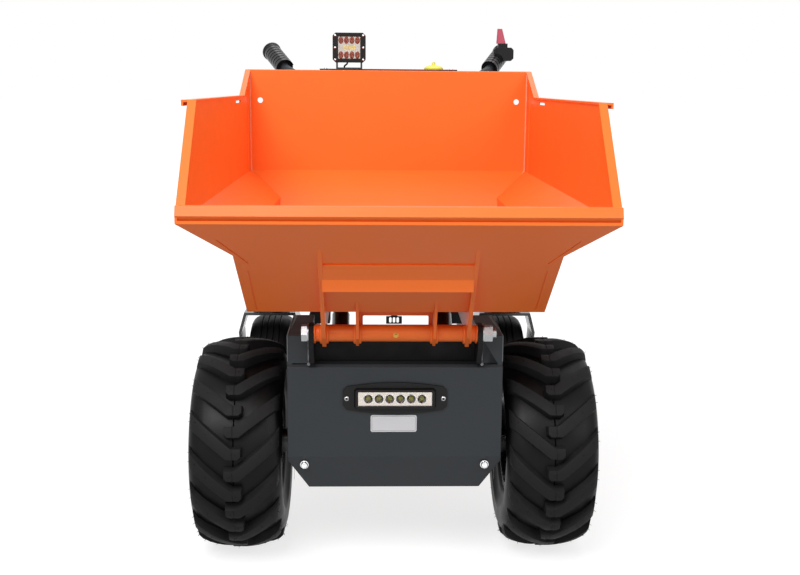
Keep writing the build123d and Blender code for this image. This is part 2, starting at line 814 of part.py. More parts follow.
# The wrapped length of each: x, y, z of its two ends
WRAP_FROM = (303.6, 648.8, 1049.8)
WRAP_TO = (351.2, 757.6, 1099.1)
for side, tag in ((-1.0, "left"), (1.0, "right")):
    with BuildPart() as handlebar:
        with BuildLine() as bar_line:
            FilletPolyline(*[(side * x, y, z) for x, y, z in BAR_PATH], radius=25.0)
        with BuildSketch(Plane(bar_line.line @ 0, z_dir=bar_line.line % 0)):
            Circle(14.0)
        sweep()
    handlebar.part.label = f"handlebar_{tag}"
    export_step(handlebar.part, f"parts/handlebar_{tag}.step")
    with BuildPart() as grip:
        start = Vector(side * WRAP_FROM[0], WRAP_FROM[1], WRAP_FROM[2])
        end = Vector(side * WRAP_TO[0], WRAP_TO[1], WRAP_TO[2])
        with BuildSketch(Plane(start, z_dir=end - start)):
            Circle(25.0)
            Circle(14.2, mode=Mode.SUBTRACT)
        extrude(amount=(end - start).length)
    grip.part.label = f"grip_{tag}"
    export_step(grip.part, f"parts/grip_{tag}.step")

with BuildPart() as lever_clamp:
    with Locations((350.0, 706.0, 1095.5)):
        Box(60.0, 32.0, 39.0)
    chamfer(lever_clamp.edges().filter_by(Axis.Y), 7.0)
    with Locations((348.0, 706.0, 1121.0)):
        Box(28.0, 22.0, 12.0)
    start = Vector(*WRAP_FROM)
    end = Vector(*WRAP_TO)
    with BuildSketch(Plane(start, z_dir=end - start)):
        Circle(25.2)
    extrude(amount=(end - start).length, mode=Mode.SUBTRACT)

lever_clamp.part.label = "lever_clamp"
export_step(lever_clamp.part, "parts/lever_clamp.step")

with BuildPart() as brake_lever:
    with BuildSketch(Plane.XY.offset(1127.0)):
        with Locations((343.0, 706.0)):
            Rectangle(28.0, 16.0)
        chamfer(vertices(), 4.0)
    with BuildSketch(Plane.XY.offset(1170.0)):
        with Locations((338.0, 702.0)):
            Rectangle(14.0, 10.0)
        chamfer(vertices(), 2.5)
    loft()

brake_lever.part.label = "brake_lever"
export_step(brake_lever.part, "parts/brake_lever.step")

# ---------------------------------------------------------------- front wheels

# Rings of the tyre, from one sidewall to the other: offset from its middle, radius
CARCASS = (
    (-98.0, 166.0),
    (-95.0, 190.0),
    (-76.0, 205.0),
    (76.0, 205.0),
    (95.0, 190.0),
    (98.0, 166.0),
)
# Hollow of each sidewall, down to the bead: offset, radius
SIDEWALL = (
    (72.0, 116.0),
    (88.0, 132.0),
    (98.0, 165.0),
)
BEAD_R = 104.0
TYRE_SIDES = 32
# One bar of the tread from outside: across the tread, around it
BAR_PLAN = (
    (-16.0, -13.0),
    (-16.0, 13.0),
    (3.0, 13.0),
    (98.0, 91.0),
    (98.0, 56.0),
    (15.0, -13.0),
)
# The same bar seen around the tread: across it, height over the axle
BAR_CREST = (
    (-20.0, 170.0),
    (-20.0, 228.1),
    (18.0, 228.1),
    (66.0, 216.5),
    (98.0, 190.0),
    (98.0, 170.0),
)
BARS_PER_SIDE = 16
BAR_FOOT_R = 184.0
BAR_REACH = 60.0
BAR_SPAN = 100.0

# Bars of each half: hand, phase, and the solid of one
tread_bars = []
for hand, phase in ((1.0, 0.0), (-1.0, 0.5)):
    with BuildPart() as tread_bar:
        with BuildSketch(Plane.XY.offset(BAR_FOOT_R)):
            with BuildLine():
                Polyline(*[(hand * a, b) for a, b in BAR_PLAN], close=True)
            make_face()
        extrude(amount=BAR_REACH)
        with BuildSketch(Plane.XZ):
            with BuildLine():
                Polyline(*[(hand * a, h) for a, h in BAR_CREST], close=True)
            make_face()
        extrude(amount=BAR_SPAN, both=True, mode=Mode.INTERSECT)
    tread_bars.append((phase, tread_bar.part))

with BuildPart() as drive_tyre:
    for (offset_a, radius_a), (offset_b, radius_b) in zip(CARCASS[:-1], CARCASS[1:]):
        with BuildSketch(Plane.YZ.offset(offset_a)):
            RegularPolygon(radius_a, TYRE_SIDES)
        with BuildSketch(Plane.YZ.offset(offset_b)):
            RegularPolygon(radius_b, TYRE_SIDES)
        loft(ruled=True)
    for phase, bar in tread_bars:
        for step in range(BARS_PER_SIDE):
            turn = (step + phase) * 360.0 / BARS_PER_SIDE
            with Locations(Location((0.0, 0.0, 0.0), (turn, 0.0, 0.0))):
                add(bar)
    for hand in (-1.0, 1.0):
        for (offset_a, radius_a), (offset_b, radius_b) in zip(SIDEWALL[:-1], SIDEWALL[1:]):
            with BuildSketch(Plane.YZ.offset(hand * offset_a)):
                RegularPolygon(radius_a, TYRE_SIDES)
            with BuildSketch(Plane.YZ.offset(hand * offset_b)):
                RegularPolygon(radius_b, TYRE_SIDES)
            loft(ruled=True, mode=Mode.SUBTRACT)
    Cylinder(BEAD_R, 220.0, rotation=(0.0, 90.0, 0.0), mode=Mode.SUBTRACT)

# Rim turned about the axle: offset from its middle, outward positive, and radius
RIM_SECTION = (
    (-77.0, 98.0),
    (-77.0, 113.0),
    (-73.0, 113.0),
    (-73.0, BEAD_R),
    (73.0, BEAD_R),
    (73.0, 113.0),
    (77.0, 113.0),
    (77.0, 98.0),
    (48.0, 84.0),
    (6.0, 84.0),
    (6.0, 40.0),
    (26.0, 34.0),
    (26.0, 0.0),
    (-101.0, 0.0),
    (-101.0, 26.0),
    (-8.0, 32.0),
    (0.0, 84.0),
    (-48.0, 84.0),
)

with BuildPart(mode=Mode.PRIVATE) as drive_rim:
    with BuildSketch(Plane.XY):
        with BuildLine():
            Polyline(*RIM_SECTION, close=True)
        make_face()
    revolve(axis=Axis.X)

for side, tag in ((-1.0, "left"), (1.0, "right")):
    with BuildPart() as front_tyre:
        with Locations((side * TRACK_HALF, FRONT_AXLE_Y, FRONT_TYRE_R)):
            add(drive_tyre.part)
    front_tyre.part.label = f"front_tyre_{tag}"
    export_step(front_tyre.part, f"parts/front_tyre_{tag}.step")
    with BuildPart() as front_rim:
        wheel_place = Location(
            (side * TRACK_HALF, FRONT_AXLE_Y, FRONT_TYRE_R), (0.0, 0.0, 90.0 - side * 90.0)
        )
        with Locations(wheel_place):
            add(drive_rim.part)
    front_rim.part.label = f"front_rim_{tag}"
    export_step(front_rim.part, f"parts/front_rim_{tag}.step")


# ---------------------------------------------------------------- casters

# Rings of the caster tyre, from one sidewall to the other: offset from its middle, radius
CASTER_CARCASS = (
    (-63.5, 124.0),
    (-59.5, 146.0),
    (-49.0, 158.5),
    (-30.0, CASTER_TYRE_R),
    (30.0, CASTER_TYRE_R),
    (49.0, 158.5),
    (59.5, 146.0),
    (63.5, 124.0),
)
# Hollow of each sidewall, down to the bead: offset, radius
CASTER_SIDEWALL = (
    (45.9, 86.0),
    (58.0, 102.0),
    (63.5, 122.0),
)
CASTER_BEAD_R = 76.0
CASTER_SIDES = 24
CASTER_RIM_SECTION = (
    (-51.0, 72.0),
    (-51.0, 86.0),
    (-47.5, 86.0),
    (-46.0, 76.0),
    (46.0, 76.0),
    (47.5, 86.0),
    (51.0, 86.0),
    (51.0, 72.0),
    (30.0, 62.0),
    (4.0, 62.0),
    (4.0, 30.0),
    (50.0, 25.0),
    (50.0, 11.0),
    (-50.0, 11.0),
    (-50.0, 25.0),
    (-4.0, 30.0),
    (-4.0, 62.0),
    (-30.0, 62.0),
)
# Fork seen from ahead: outer line, x from the caster's middle, z
FORK_OUTER = (
    (-88.0, 137.0),
    (-91.0, 302.0),
    (-72.0, 364.0),
    (72.0, 364.0),
    (91.0, 302.0),
    (88.0, 137.0),
)
FORK_INNER = (
    (80.0, 137.0),
    (83.0, 300.0),
    (66.0, 356.0),
    (-66.0, 356.0),
    (-83.0, 300.0),
    (-80.0, 137.0),
)
# Fork seen from the side: y from the swivel, z
FORK_SIDE = (
    (-48.0, 400.0),
    (-48.0, 352.0),
    (38.0, 165.0),
    (50.0, 140.0),
    (92.0, 140.0),
    (100.0, 165.0),
    (60.0, 342.0),
    (60.0, 400.0),
)

with BuildPart(mode=Mode.PRIVATE) as caster_fork:
    with BuildSketch(Plane.XZ):
        with BuildLine():
            Polyline(*FORK_OUTER, *FORK_INNER, close=True)
        make_face()
    extrude(amount=200.0, both=True)
    with BuildSketch(Plane.YZ):
        with BuildLine():
            Polyline(*FORK_SIDE, close=True)
        make_face()
    extrude(amount=120.0, both=True, mode=Mode.INTERSECT)
    with Locations((0.0, 0.0, 367.5)):
        Cylinder(34.0, 7.0)
    with Locations((0.0, 70.0, CASTER_TYRE_R)):
        Cylinder(10.0, 194.0, rotation=(0.0, 90.0, 0.0))

for side, tag in ((-1.0, "left"), (1.0, "right")):
    with BuildPart() as fork:
        with Locations((side * CASTER_X, CASTER_Y, 0.0)):
            add(caster_fork.part)
    fork.part.label = f"caster_fork_{tag}"
    export_step(fork.part, f"parts/caster_fork_{tag}.step")
    with BuildPart() as caster_tyre:
        for (offset_a, radius_a), (offset_b, radius_b) in zip(CASTER_CARCASS[:-1], CASTER_CARCASS[1:]):
            with BuildSketch(Plane.YZ.offset(offset_a)):
                RegularPolygon(radius_a, CASTER_SIDES)
            with BuildSketch(Plane.YZ.offset(offset_b)):
                RegularPolygon(radius_b, CASTER_SIDES)
            loft(ruled=True)
        for hand in (-1.0, 1.0):
            for (offset_a, radius_a), (offset_b, radius_b) in zip(CASTER_SIDEWALL[:-1], CASTER_SIDEWALL[1:]):
                with BuildSketch(Plane.YZ.offset(hand * offset_a)):
                    RegularPolygon(radius_a, CASTER_SIDES)
                with BuildSketch(Plane.YZ.offset(hand * offset_b)):
                    RegularPolygon(radius_b, CASTER_SIDES)
                loft(ruled=True, mode=Mode.SUBTRACT)
        Cylinder(CASTER_BEAD_R, 140.0, rotation=(0.0, 90.0, 0.0), mode=Mode.SUBTRACT)
    caster_tyre.part.position = (side * CASTER_X, CASTER_WHEEL_Y, CASTER_TYRE_R)
    caster_tyre.part.label = f"caster_tyre_{tag}"
    export_step(caster_tyre.part, f"parts/caster_tyre_{tag}.step")
    with BuildPart() as caster_rim:
        with BuildSketch(Plane.XY):
            with BuildLine():
                Polyline(*CASTER_RIM_SECTION, close=True)
            make_face()
        revolve(axis=Axis.X)
    caster_rim.part.position = (side * CASTER_X, CASTER_WHEEL_Y, CASTER_TYRE_R)
    caster_rim.part.label = f"caster_rim_{tag}"
    export_step(caster_rim.part, f"parts/caster_rim_{tag}.step")


# ---------------------------------------------------------------- lift cylinders

with BuildPart(mode=Mode.PRIVATE) as barrel:
    with Locations((185.0, 0.0, 0.0)):
        Cylinder(20.0, 302.0, rotation=(0.0, 90.0, 0.0))
    with Locations((24.0, 0.0, 0.0)):
        Box(30.0, 20.0, 24.0)
    Cylinder(17.0, 20.0, rotation=(90.0, 0.0, 0.0))
    with Locations((224.0, 0.0, 0.0)):
        Cylinder(12.0, 360.0, rotation=(0.0, 90.0, 0.0), mode=Mode.SUBTRACT)
    Cylinder(8.6, 40.0, rotation=(90.0, 0.0, 0.0), mode=Mode.SUBTRACT)

with BuildPart(mode=Mode.PRIVATE) as rod:
    with Locations((LIFT_LENGTH / 2.0 + 22.0, 0.0, 0.0)):
        Cylinder(11.0, LIFT_LENGTH - 58.0, rotation=(0.0, 90.0, 0.0))
    with Locations((LIFT_LENGTH, 0.0, 0.0)):
        Cylinder(16.0, 20.0, rotation=(90.0, 0.0, 0.0))
        Cylinder(8.5, 40.0, rotation=(90.0, 0.0, 0.0), mode=Mode.SUBTRACT)

for side, tag in ((-1.0, "left"), (1.0, "right")):
    lift_plane = Plane(
        origin=(side * LIFT_X, LIFT_BASE[0], LIFT_BASE[1]),
        x_dir=(0.0, LIFT_EYE[0] - LIFT_BASE[0], LIFT_EYE[1] - LIFT_BASE[1]),
        z_dir=(0.0, LIFT_BASE[1] - LIFT_EYE[1], LIFT_EYE[0] - LIFT_BASE[0]),
    )
    with BuildPart() as lift_barrel:
        with Locations(lift_plane.location):
            add(barrel.part)
    lift_barrel.part.label = f"lift_barrel_{tag}"
    export_step(lift_barrel.part, f"parts/lift_barrel_{tag}.step")
    with BuildPart() as lift_rod:
        with Locations(lift_plane.location):
            add(rod.part)
    lift_rod.part.label = f"lift_rod_{tag}"
    export_step(lift_rod.part, f"parts/lift_rod_{tag}.step")
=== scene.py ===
"""Site dumper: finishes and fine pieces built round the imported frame."""

import math

import bmesh
import bpy
from bpy.props import FloatProperty, FloatVectorProperty, IntProperty, PointerProperty
from mathutils import Matrix, Vector


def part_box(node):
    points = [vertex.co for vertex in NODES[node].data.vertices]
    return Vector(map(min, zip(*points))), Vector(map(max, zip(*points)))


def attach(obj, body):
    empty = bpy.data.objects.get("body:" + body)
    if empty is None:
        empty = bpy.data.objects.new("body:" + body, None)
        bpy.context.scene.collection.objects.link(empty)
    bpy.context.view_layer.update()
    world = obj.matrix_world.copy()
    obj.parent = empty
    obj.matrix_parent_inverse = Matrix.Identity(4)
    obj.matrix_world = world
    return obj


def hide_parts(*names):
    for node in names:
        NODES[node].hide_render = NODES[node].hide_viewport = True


bl_info = {
    "name": "Site Dumper",
    "version": (1, 0, 0),
    "blender": (4, 5, 0),
    "location": "View3D > Sidebar > Dumper",
    "description": "Finishes and fine pieces of a walk-behind site dumper",
    "category": "Object",
}

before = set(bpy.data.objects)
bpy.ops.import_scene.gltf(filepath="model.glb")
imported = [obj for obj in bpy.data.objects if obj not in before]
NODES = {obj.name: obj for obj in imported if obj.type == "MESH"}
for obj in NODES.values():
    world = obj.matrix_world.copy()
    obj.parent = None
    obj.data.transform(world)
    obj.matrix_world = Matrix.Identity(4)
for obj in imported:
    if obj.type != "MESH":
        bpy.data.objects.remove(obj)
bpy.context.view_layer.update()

MM = 0.001
SIDES = ((-1.0, "left"), (1.0, "right"))


def on_side(point, side):
    """A point of the right side in millimetres, as it lies on the given side in metres."""
    return Vector((side * point.x, point.y, point.z)) * MM


def in_mm(box):
    """Low corner, high corner and middle of a box given in metres, all in millimetres."""
    low, high = (Vector(corner) / MM for corner in box)
    return low, high, (low + high) / 2.0


def linear(code):
    """Turn an sRGB hex colour into linear red, green and blue."""
    shades = [int(code[start : start + 2], 16) / 255.0 for start in (1, 3, 5)]
    return tuple(s / 12.92 if s <= 0.04045 else ((s + 0.055) / 1.055) ** 2.4 for s in shades)


# ------------------------------------------------------------------ settings


class DumperColours(bpy.types.PropertyGroup):
    skip: FloatVectorProperty(
        name="Skip",
        description="Powder coat of the skip",
        subtype="COLOR",
        size=3,
        default=linear("#F8762A"),
    )
    slate: FloatVectorProperty(
        name="Frame",
        description="Powder coat of the frame",
        subtype="COLOR",
        size=3,
        default=linear("#1F2428"),
    )
    enamel: FloatVectorProperty(
        name="Forks",
        description="Enamel of the caster forks",
        subtype="COLOR",
        size=3,
        default=linear("#222427"),
    )
    tank: FloatVectorProperty(
        name="Tank",
        description="Enamel of the fuel tank",
        subtype="COLOR",
        size=3,
        default=linear("#8E1B14"),
    )
    rubber: FloatVectorProperty(
        name="Tyres",
        description="Rubber of all four tyres",
        subtype="COLOR",
        size=3,
        default=linear("#0C0C0D"),
    )
    # Paler than the rest of the rubber: partly rubbing, partly painted light on the lit tops of the bars
    crest: FloatVectorProperty(
        name="Bars",
        description="Rubbed rubber of the tread bars",
        subtype="COLOR",
        size=3,
        default=linear("#1E1E1F"),
    )


class DumperTread(bpy.types.PropertyGroup):
    bars: IntProperty(name="Bars", description="Bars on each half of a drive tyre", default=16, min=8, max=24)
    hair: FloatProperty(
        name="Vent hair",
        description="Length of a moulding hair",
        unit="LENGTH",
        default=6.0 * MM,
        precision=4,
    )


class DumperWelds(bpy.types.PropertyGroup):
    radius: FloatProperty(
        name="Bead radius",
        description="Half the width of a weld",
        unit="LENGTH",
        default=3.0 * MM,
        precision=4,
    )
    pitch: FloatProperty(
        name="Ripple pitch",
        description="Distance between two ripples",
        unit="LENGTH",
        default=4.0 * MM,
        precision=4,
    )


class DumperFasteners(bpy.types.PropertyGroup):
    across: FloatProperty(
        name="Across flats",
        description="Size of the common hex head",
        unit="LENGTH",
        default=13.0 * MM,
        precision=4,
    )
    height: FloatProperty(
        name="Head height",
        description="Height of the common hex head",
        unit="LENGTH",
        default=5.5 * MM,
        precision=4,
    )


class DumperLamps(bpy.types.PropertyGroup):
    pitch: FloatProperty(
        name="Cup pitch",
        description="Distance between two lamp cups",
        unit="LENGTH",
        default=21.7 * MM,
        precision=4,
    )
    cup: FloatProperty(
        name="Cup radius",
        description="Mouth of a reflector cup",
        unit="LENGTH",
        default=9.8 * MM,
        precision=4,
    )


class DumperStage(bpy.types.PropertyGroup):
    lens: FloatProperty(name="Lens", description="Focal length of the camera in mm", default=48.45, min=10.0)
    key: FloatProperty(name="Key", description="Power of the main soft box in W", default=170.0, min=0.0)
    fill: FloatProperty(name="Fill", description="Power of the fill soft box in W", default=40.0, min=0.0)
    top: FloatProperty(name="Top", description="Power of the top soft box in W", default=45.0, min=0.0)
    room: FloatProperty(name="Room", description="Strength of the pale room light", default=0.35, min=0.0)
    floor: FloatProperty(name="Floor", description="Share of light it throws back", default=0.38, max=1.0)
    glow: FloatProperty(name="Backdrop", description="Brightness added to the floor as seen", default=0.75)


# ------------------------------------------------------------------ nodes


def add_node(tree, kind, inputs=None, **settings):
    """Add a node, set its options, then fill or link its inputs."""
    made = tree.nodes.new(kind)
    for option, value in settings.items():
        setattr(made, option, value)
    for socket, value in (inputs or {}).items():
        if isinstance(value, bpy.types.NodeSocket):
            tree.links.new(value, made.inputs[socket])
        else:
            made.inputs[socket].default_value = value
    return made


def maths(tree, operation, first, second):
    """Output of a node that works out one value from two."""
    return add_node(tree, "ShaderNodeMath", {0: first, 1: second}, operation=operation).outputs[0]


def clear_tree(owner):
    """Node tree of a material or a world, emptied."""
    owner.use_nodes = True
    owner.node_tree.nodes.clear()
    return owner.node_tree


def shade(colour, gain):
    """Make a colour lighter or darker, with its alpha."""
    return (*(min(1.0, part * gain) for part in colour), 1.0)


def surface(name, paint, tones, patch, gloss, relief, depth, sockets):
    """A finish with cloudy tone and fine relief.

    tones holds the gains of the darkest and lightest tone, gloss the smoothest and roughest value.
    patch is the size of a cloud of tone, relief the size of a bump and depth its height, all in metres.
    sockets holds what stays the same all over.
    """
    material = bpy.data.materials.new(name)
    tree = clear_tree(material)
    place = add_node(tree, "ShaderNodeTexCoord")
    where = place.outputs["Object"]
    cloud = add_node(tree, "ShaderNodeTexNoise", {"Vector": where, "Scale": 1.0 / patch, "Detail": 4.0})
    tone = add_node(
        tree,
        "ShaderNodeMix",
        {0: cloud.outputs[0], 6: shade(paint, tones[0]), 7: shade(paint, tones[1])},
        data_type="RGBA",
    )
    spread = {"From Min": 0.3, "From Max": 0.7, "To Min": gloss[0], "To Max": gloss[1]}
    rough = add_node(tree, "ShaderNodeMapRange", {"Value": cloud.outputs[0], **spread})
    grain = add_node(tree, "ShaderNodeTexNoise", {"Vector": where, "Scale": 1.0 / relief, "Detail": 3.0})
    bump = add_node(tree, "ShaderNodeBump", {"Height": grain.outputs[0], "Distance": depth, "Strength": 1.0})
    shader = add_node(
        tree,
        "ShaderNodeBsdfPrincipled",
        {"Base Color": tone.outputs[2], "Roughness": rough.outputs[0], "Normal": bump.outputs[0], **sockets},
    )
    add_node(tree, "ShaderNodeOutputMaterial", {"Surface": shader.outputs[0]})
    return material


# ------------------------------------------------------------------ materials


def powder_coat(name, paint):
    """Polyester powder, sprayed and stoved: even satin paint with a shallow orange peel.

    The real peel is about 2 mm across; it is drawn 5 mm across so that it shows.
    """
    return surface(
        name, paint, tones=(0.94, 1.04), patch=180.0 * MM, gloss=(0.34, 0.44),
        relief=5.0 * MM, depth=0.02 * MM, sockets={"Specular IOR Level": 0.35},
    )


def textured_powder_coat(name, paint):
    """Fine-textured powder on the frame: dull, with a sandy grain that breaks up reflections."""
    return surface(
        name, paint, tones=(0.9, 1.1), patch=120.0 * MM, gloss=(0.46, 0.58),
        relief=2.5 * MM, depth=0.05 * MM, sockets={"Specular IOR Level": 0.4},
    )


def brushed_black_paint(name, paint):
    """Near-black paint, dull and slightly streaky: painted shade, for the recess round the pivot ears under
    the skip and for the screw sockets.
    """
    return surface(
        name, paint, tones=(0.7, 1.3), patch=30.0 * MM, gloss=(0.55, 0.7),
        relief=4.0 * MM, depth=0.08 * MM, sockets={"Specular IOR Level": 0.2},
    )


def gloss_enamel(name, paint):
    """Sprayed wet enamel: deep gloss with soft sags and a clear top skin."""
    return surface(
        name, paint, tones=(0.92, 1.08), patch=100.0 * MM, gloss=(0.2, 0.32),
        relief=9.0 * MM, depth=0.03 * MM, sockets={"Coat Weight": 0.4, "Coat Roughness": 0.12},
    )


def vulcanised_rubber(name, paint):
    """Carbon-black tyre rubber from a steel mould: dark, a soft sheen on the crown, dust in patches."""
    return surface(
        name, paint, tones=(0.7, 1.35), patch=50.0 * MM, gloss=(0.4, 0.6),
        relief=3.0 * MM, depth=0.06 * MM, sockets={"Specular IOR Level": 0.14},
    )


def worn_and_lit_rubber(name, paint):
    """The same rubber on the bars: paler and dull, with fine scuffs. The paler tone is partly rubbing and
    partly painted light on the lit tops of the bars.
    """
    return surface(
        name, paint, tones=(0.75, 1.25), patch=30.0 * MM, gloss=(0.55, 0.7),
        relief=2.5 * MM, depth=0.08 * MM, sockets={"Specular IOR Level": 0.12},
    )


def glossy_rubber_painted_shade(name, paint):
    """The same rubber as the mould left it between the bars, with a faint wet sheen. Its near-black colour,
    darker than the rest of the rubber, is painted shade in the grooves.
    """
    return surface(
        name, paint, tones=(0.8, 1.2), patch=60.0 * MM, gloss=(0.36, 0.48),
        relief=6.0 * MM, depth=0.05 * MM, sockets={"Specular IOR Level": 0.16},
    )


def moulded_abs(name, paint):
    """Injection-moulded ABS with a spark-eroded grain: near black, fine matt leather-like skin."""
    return surface(
        name, paint, tones=(0.85, 1.2), patch=40.0 * MM, gloss=(0.42, 0.55),
        relief=1.8 * MM, depth=0.05 * MM, sockets={"Specular IOR Level": 0.25},
    )


def braided_hose(name, paint):
    """Cloth-braided rubber hose: matt black with a coarse woven skin."""
    return surface(
        name, paint, tones=(0.6, 1.5), patch=8.0 * MM, gloss=(0.6, 0.75),
        relief=2.0 * MM, depth=0.12 * MM, sockets={"IOR": 1.5},
    )


def wrapped_nylon(name, paint):
    """Extruded nylon spiral wrap: black, smooth and waxy with bright edges."""
    return surface(
        name, paint, tones=(0.8, 1.3), patch=30.0 * MM, gloss=(0.2, 0.32),
        relief=6.0 * MM, depth=0.04 * MM, sockets={"Specular IOR Level": 0.3},
    )


def zinc_plate(name, paint):
    """Bright zinc plating on steel: pale blue-grey metal, cloudy from the bath."""
    return surface(
        name, paint, tones=(0.85, 1.1), patch=6.0 * MM, gloss=(0.25, 0.42),
        relief=1.5 * MM, depth=0.02 * MM, sockets={"Metallic": 1.0},
    )


def hard_chrome(name, paint):
    """Ground and chromed rod: mirror bright with hairline polish."""
    return surface(
        name, paint, tones=(0.95, 1.05), patch=30.0 * MM, gloss=(0.06, 0.12),
        relief=4.0 * MM, depth=0.003 * MM, sockets={"Metallic": 1.0},
    )


def sand_cast_iron(name, paint):
    """Painted sand casting: dull grey-black over a pitted, grainy skin."""
    return surface(
        name, paint, tones=(0.8, 1.15), patch=50.0 * MM, gloss=(0.55, 0.7),
        relief=3.5 * MM, depth=0.25 * MM, sockets={"IOR": 1.5},
    )


def die_cast_aluminium(name, paint):
    """Pressure die casting, shot blasted: pale matt grey metal with a fine tooth."""
    return surface(
        name, paint, tones=(0.82, 1.08), patch=40.0 * MM, gloss=(0.42, 0.6),
        relief=1.6 * MM, depth=0.06 * MM, sockets={"Metallic": 0.9},
    )


def scaled_steel(name, paint):
    """Pressed exhaust steel browned by heat: uneven dark straw and grey scale."""
    return surface(
        name, paint, tones=(0.6, 1.3), patch=30.0 * MM, gloss=(0.5, 0.75),
        relief=2.2 * MM, depth=0.08 * MM, sockets={"Metallic": 0.8},
    )


def moulded_plastic(name, paint):
    """Moulded PVC or acrylic: solid colour, slight gloss."""
    return surface(
        name, paint, tones=(0.94, 1.05), patch=20.0 * MM, gloss=(0.3, 0.42),
        relief=3.0 * MM, depth=0.03 * MM, sockets={"IOR": 1.53},
    )


def vapour_metallised(name, paint):
    """Aluminium-metallised reflector plastic: bright silver with soft ripples."""
    return surface(
        name, paint, tones=(0.9, 1.05), patch=10.0 * MM, gloss=(0.12, 0.25),
        relief=5.0 * MM, depth=0.05 * MM, sockets={"Metallic": 1.0},
    )


def led_phosphor(name, paint):
    """Silicone over yellow phosphor on a chip: a waxy, dull yellow face, unlit."""
    return surface(
        name, paint, tones=(0.9, 1.05), patch=4.0 * MM, gloss=(0.2, 0.3),
        relief=2.0 * MM, depth=0.01 * MM, sockets={"IOR": 1.41},
    )


def cast_vinyl(name, paint):
    """Cast vinyl sheet stuck on flat: one even tone, smooth, slightly glossy."""
    return surface(
        name, paint, tones=(0.97, 1.01), patch=50.0 * MM, gloss=(0.28, 0.36),
        relief=8.0 * MM, depth=0.01 * MM, sockets={"IOR": 1.5},
    )


def weld_metal(name, paint):
    """MIG bead under thin paint, drawn pale and streaked: the pale tone is a painted highlight along the
    bead.
    """
    return surface(
        name, paint, tones=(0.72, 1.25), patch=4.0 * MM, gloss=(0.32, 0.5),
        relief=2.0 * MM, depth=0.15 * MM, sockets={"IOR": 1.5},
    )


def clear_polycarbonate(name, paint):
    """Thin flat polycarbonate pane: nearly all light passes, a faint gloss stays on its face."""
    return surface(
        name, paint, tones=(0.98, 1.02), patch=20.0 * MM, gloss=(0.03, 0.07),
        relief=12.0 * MM, depth=0.02 * MM, sockets={"IOR": 1.58, "Alpha": 0.12, "Transmission Weight": 1.0},
    )


FINISHES = {}


def finish(name):
    """Find a finished material by name."""
    return FINISHES[name]


def mix_finishes(colours):
    """Make every material of the machine."""
    recipes = (
        ("powder_coat_orange", powder_coat, colours.skip),
        ("powder_coat_slate", textured_powder_coat, colours.slate),
        ("gloss_enamel_fork", gloss_enamel, colours.enamel),
        ("satin_enamel_rim", gloss_enamel, linear("#1E1F21")),
        ("stoved_enamel_tank", gloss_enamel, colours.tank),
        ("stoved_enamel_black", gloss_enamel, linear("#18181A")),
        ("brushed_black_paint", brushed_black_paint, linear("#090808")),
        ("vulcanised_rubber", vulcanised_rubber, colours.rubber),
        # Bars paler and carcass darker than the rest of the rubber: painted light on the bar tops and painted
        # shade in the grooves, besides some rubbing
        ("rubber_bars", worn_and_lit_rubber, colours.crest),
        ("rubber_carcass", glossy_rubber_painted_shade, linear("#040405")),
        ("moulded_rubber_buffer", vulcanised_rubber, linear("#202021")),
        ("moulded_abs", moulded_abs, linear("#0B0A0A")),
        ("braided_hose", braided_hose, linear("#131314")),
        ("wrapped_nylon", wrapped_nylon, linear("#101012")),
        ("zinc_plate", zinc_plate, linear("#ABADAE")),
        ("brass", zinc_plate, linear("#C79B4A")),
        ("hard_chrome", hard_chrome, linear("#D8DADC")),
        ("bright_chrome", hard_chrome, linear("#F0F1F2")),
        ("sand_cast_iron", sand_cast_iron, linear("#37393C")),
        ("die_cast_aluminium", die_cast_aluminium, linear("#A6A8A9")),
        ("scaled_steel", scaled_steel, linear("#6E655C")),
        ("moulded_pvc_yellow", moulded_plastic, linear("#EBDD4B")),
        ("moulded_pvc_red", moulded_plastic, linear("#C55468")),
        ("amber_lens", moulded_plastic, linear("#7A2E08")),
        ("vapour_metallised", vapour_metallised, linear("#D2C8BF")),
        ("shaded_reflector", vapour_metallised, linear("#6E6B66")),
        ("led_phosphor", led_phosphor, linear("#77702C")),
        ("led_strip", led_phosphor, linear("#D9D08A")),
        ("cast_vinyl", cast_vinyl, linear("#CFCFD3")),
        ("vinyl_keyline", cast_vinyl, linear("#6F7075")),
        # Pale weld colours: painted highlights along the beads
        ("weld_metal", weld_metal, linear("#EDA888")),
        ("weld_under_slate", weld_metal, linear("#6A6C70")),
        ("clear_polycarbonate", clear_polycarbonate, linear("#F2F5F7")),
    )
    for name, recipe, paint in recipes:
        FINISHES[name] = recipe(name, tuple(paint))


# ------------------------------------------------------------------ meshes


def add_object(name, data):
    """Put a mesh, a camera or a light in the scene."""
    made = bpy.data.objects.new(name, data)
    bpy.context.collection.objects.link(made)
    return made


def from_work(name, work):
    """Turn a finished bmesh into a piece that has no material yet."""
    mesh = bpy.data.meshes.new(name)
    work.to_mesh(mesh)
    work.free()
    return add_object(name, mesh)


def piece_from(name, points, faces, material):
    """A mesh piece from points in millimetres."""
    mesh = bpy.data.meshes.new(name)
    mesh.from_pydata([Vector(point) * MM for point in points], [], faces)
    mesh.materials.append(material)
    return add_object(name, mesh)


BOX_FACES = ((0, 3, 2, 1), (4, 5, 6, 7), (0, 1, 5, 4), (1, 2, 6, 5), (2, 3, 7, 6), (3, 0, 4, 7))


def box_points(low, high):
    """Corners of a box between two points."""
    return [
        (low[0], low[1], low[2]),
        (high[0], low[1], low[2]),
        (high[0], high[1], low[2]),
        (low[0], high[1], low[2]),
        (low[0], low[1], high[2]),
        (high[0], low[1], high[2]),
        (high[0], high[1], high[2]),
        (low[0], high[1], high[2]),
    ]


def block(name, low, high, coat):
    """A plain box between two corners in millimetres, in its finish."""
    return piece_from(name, box_points(low, high), BOX_FACES, finish(coat))


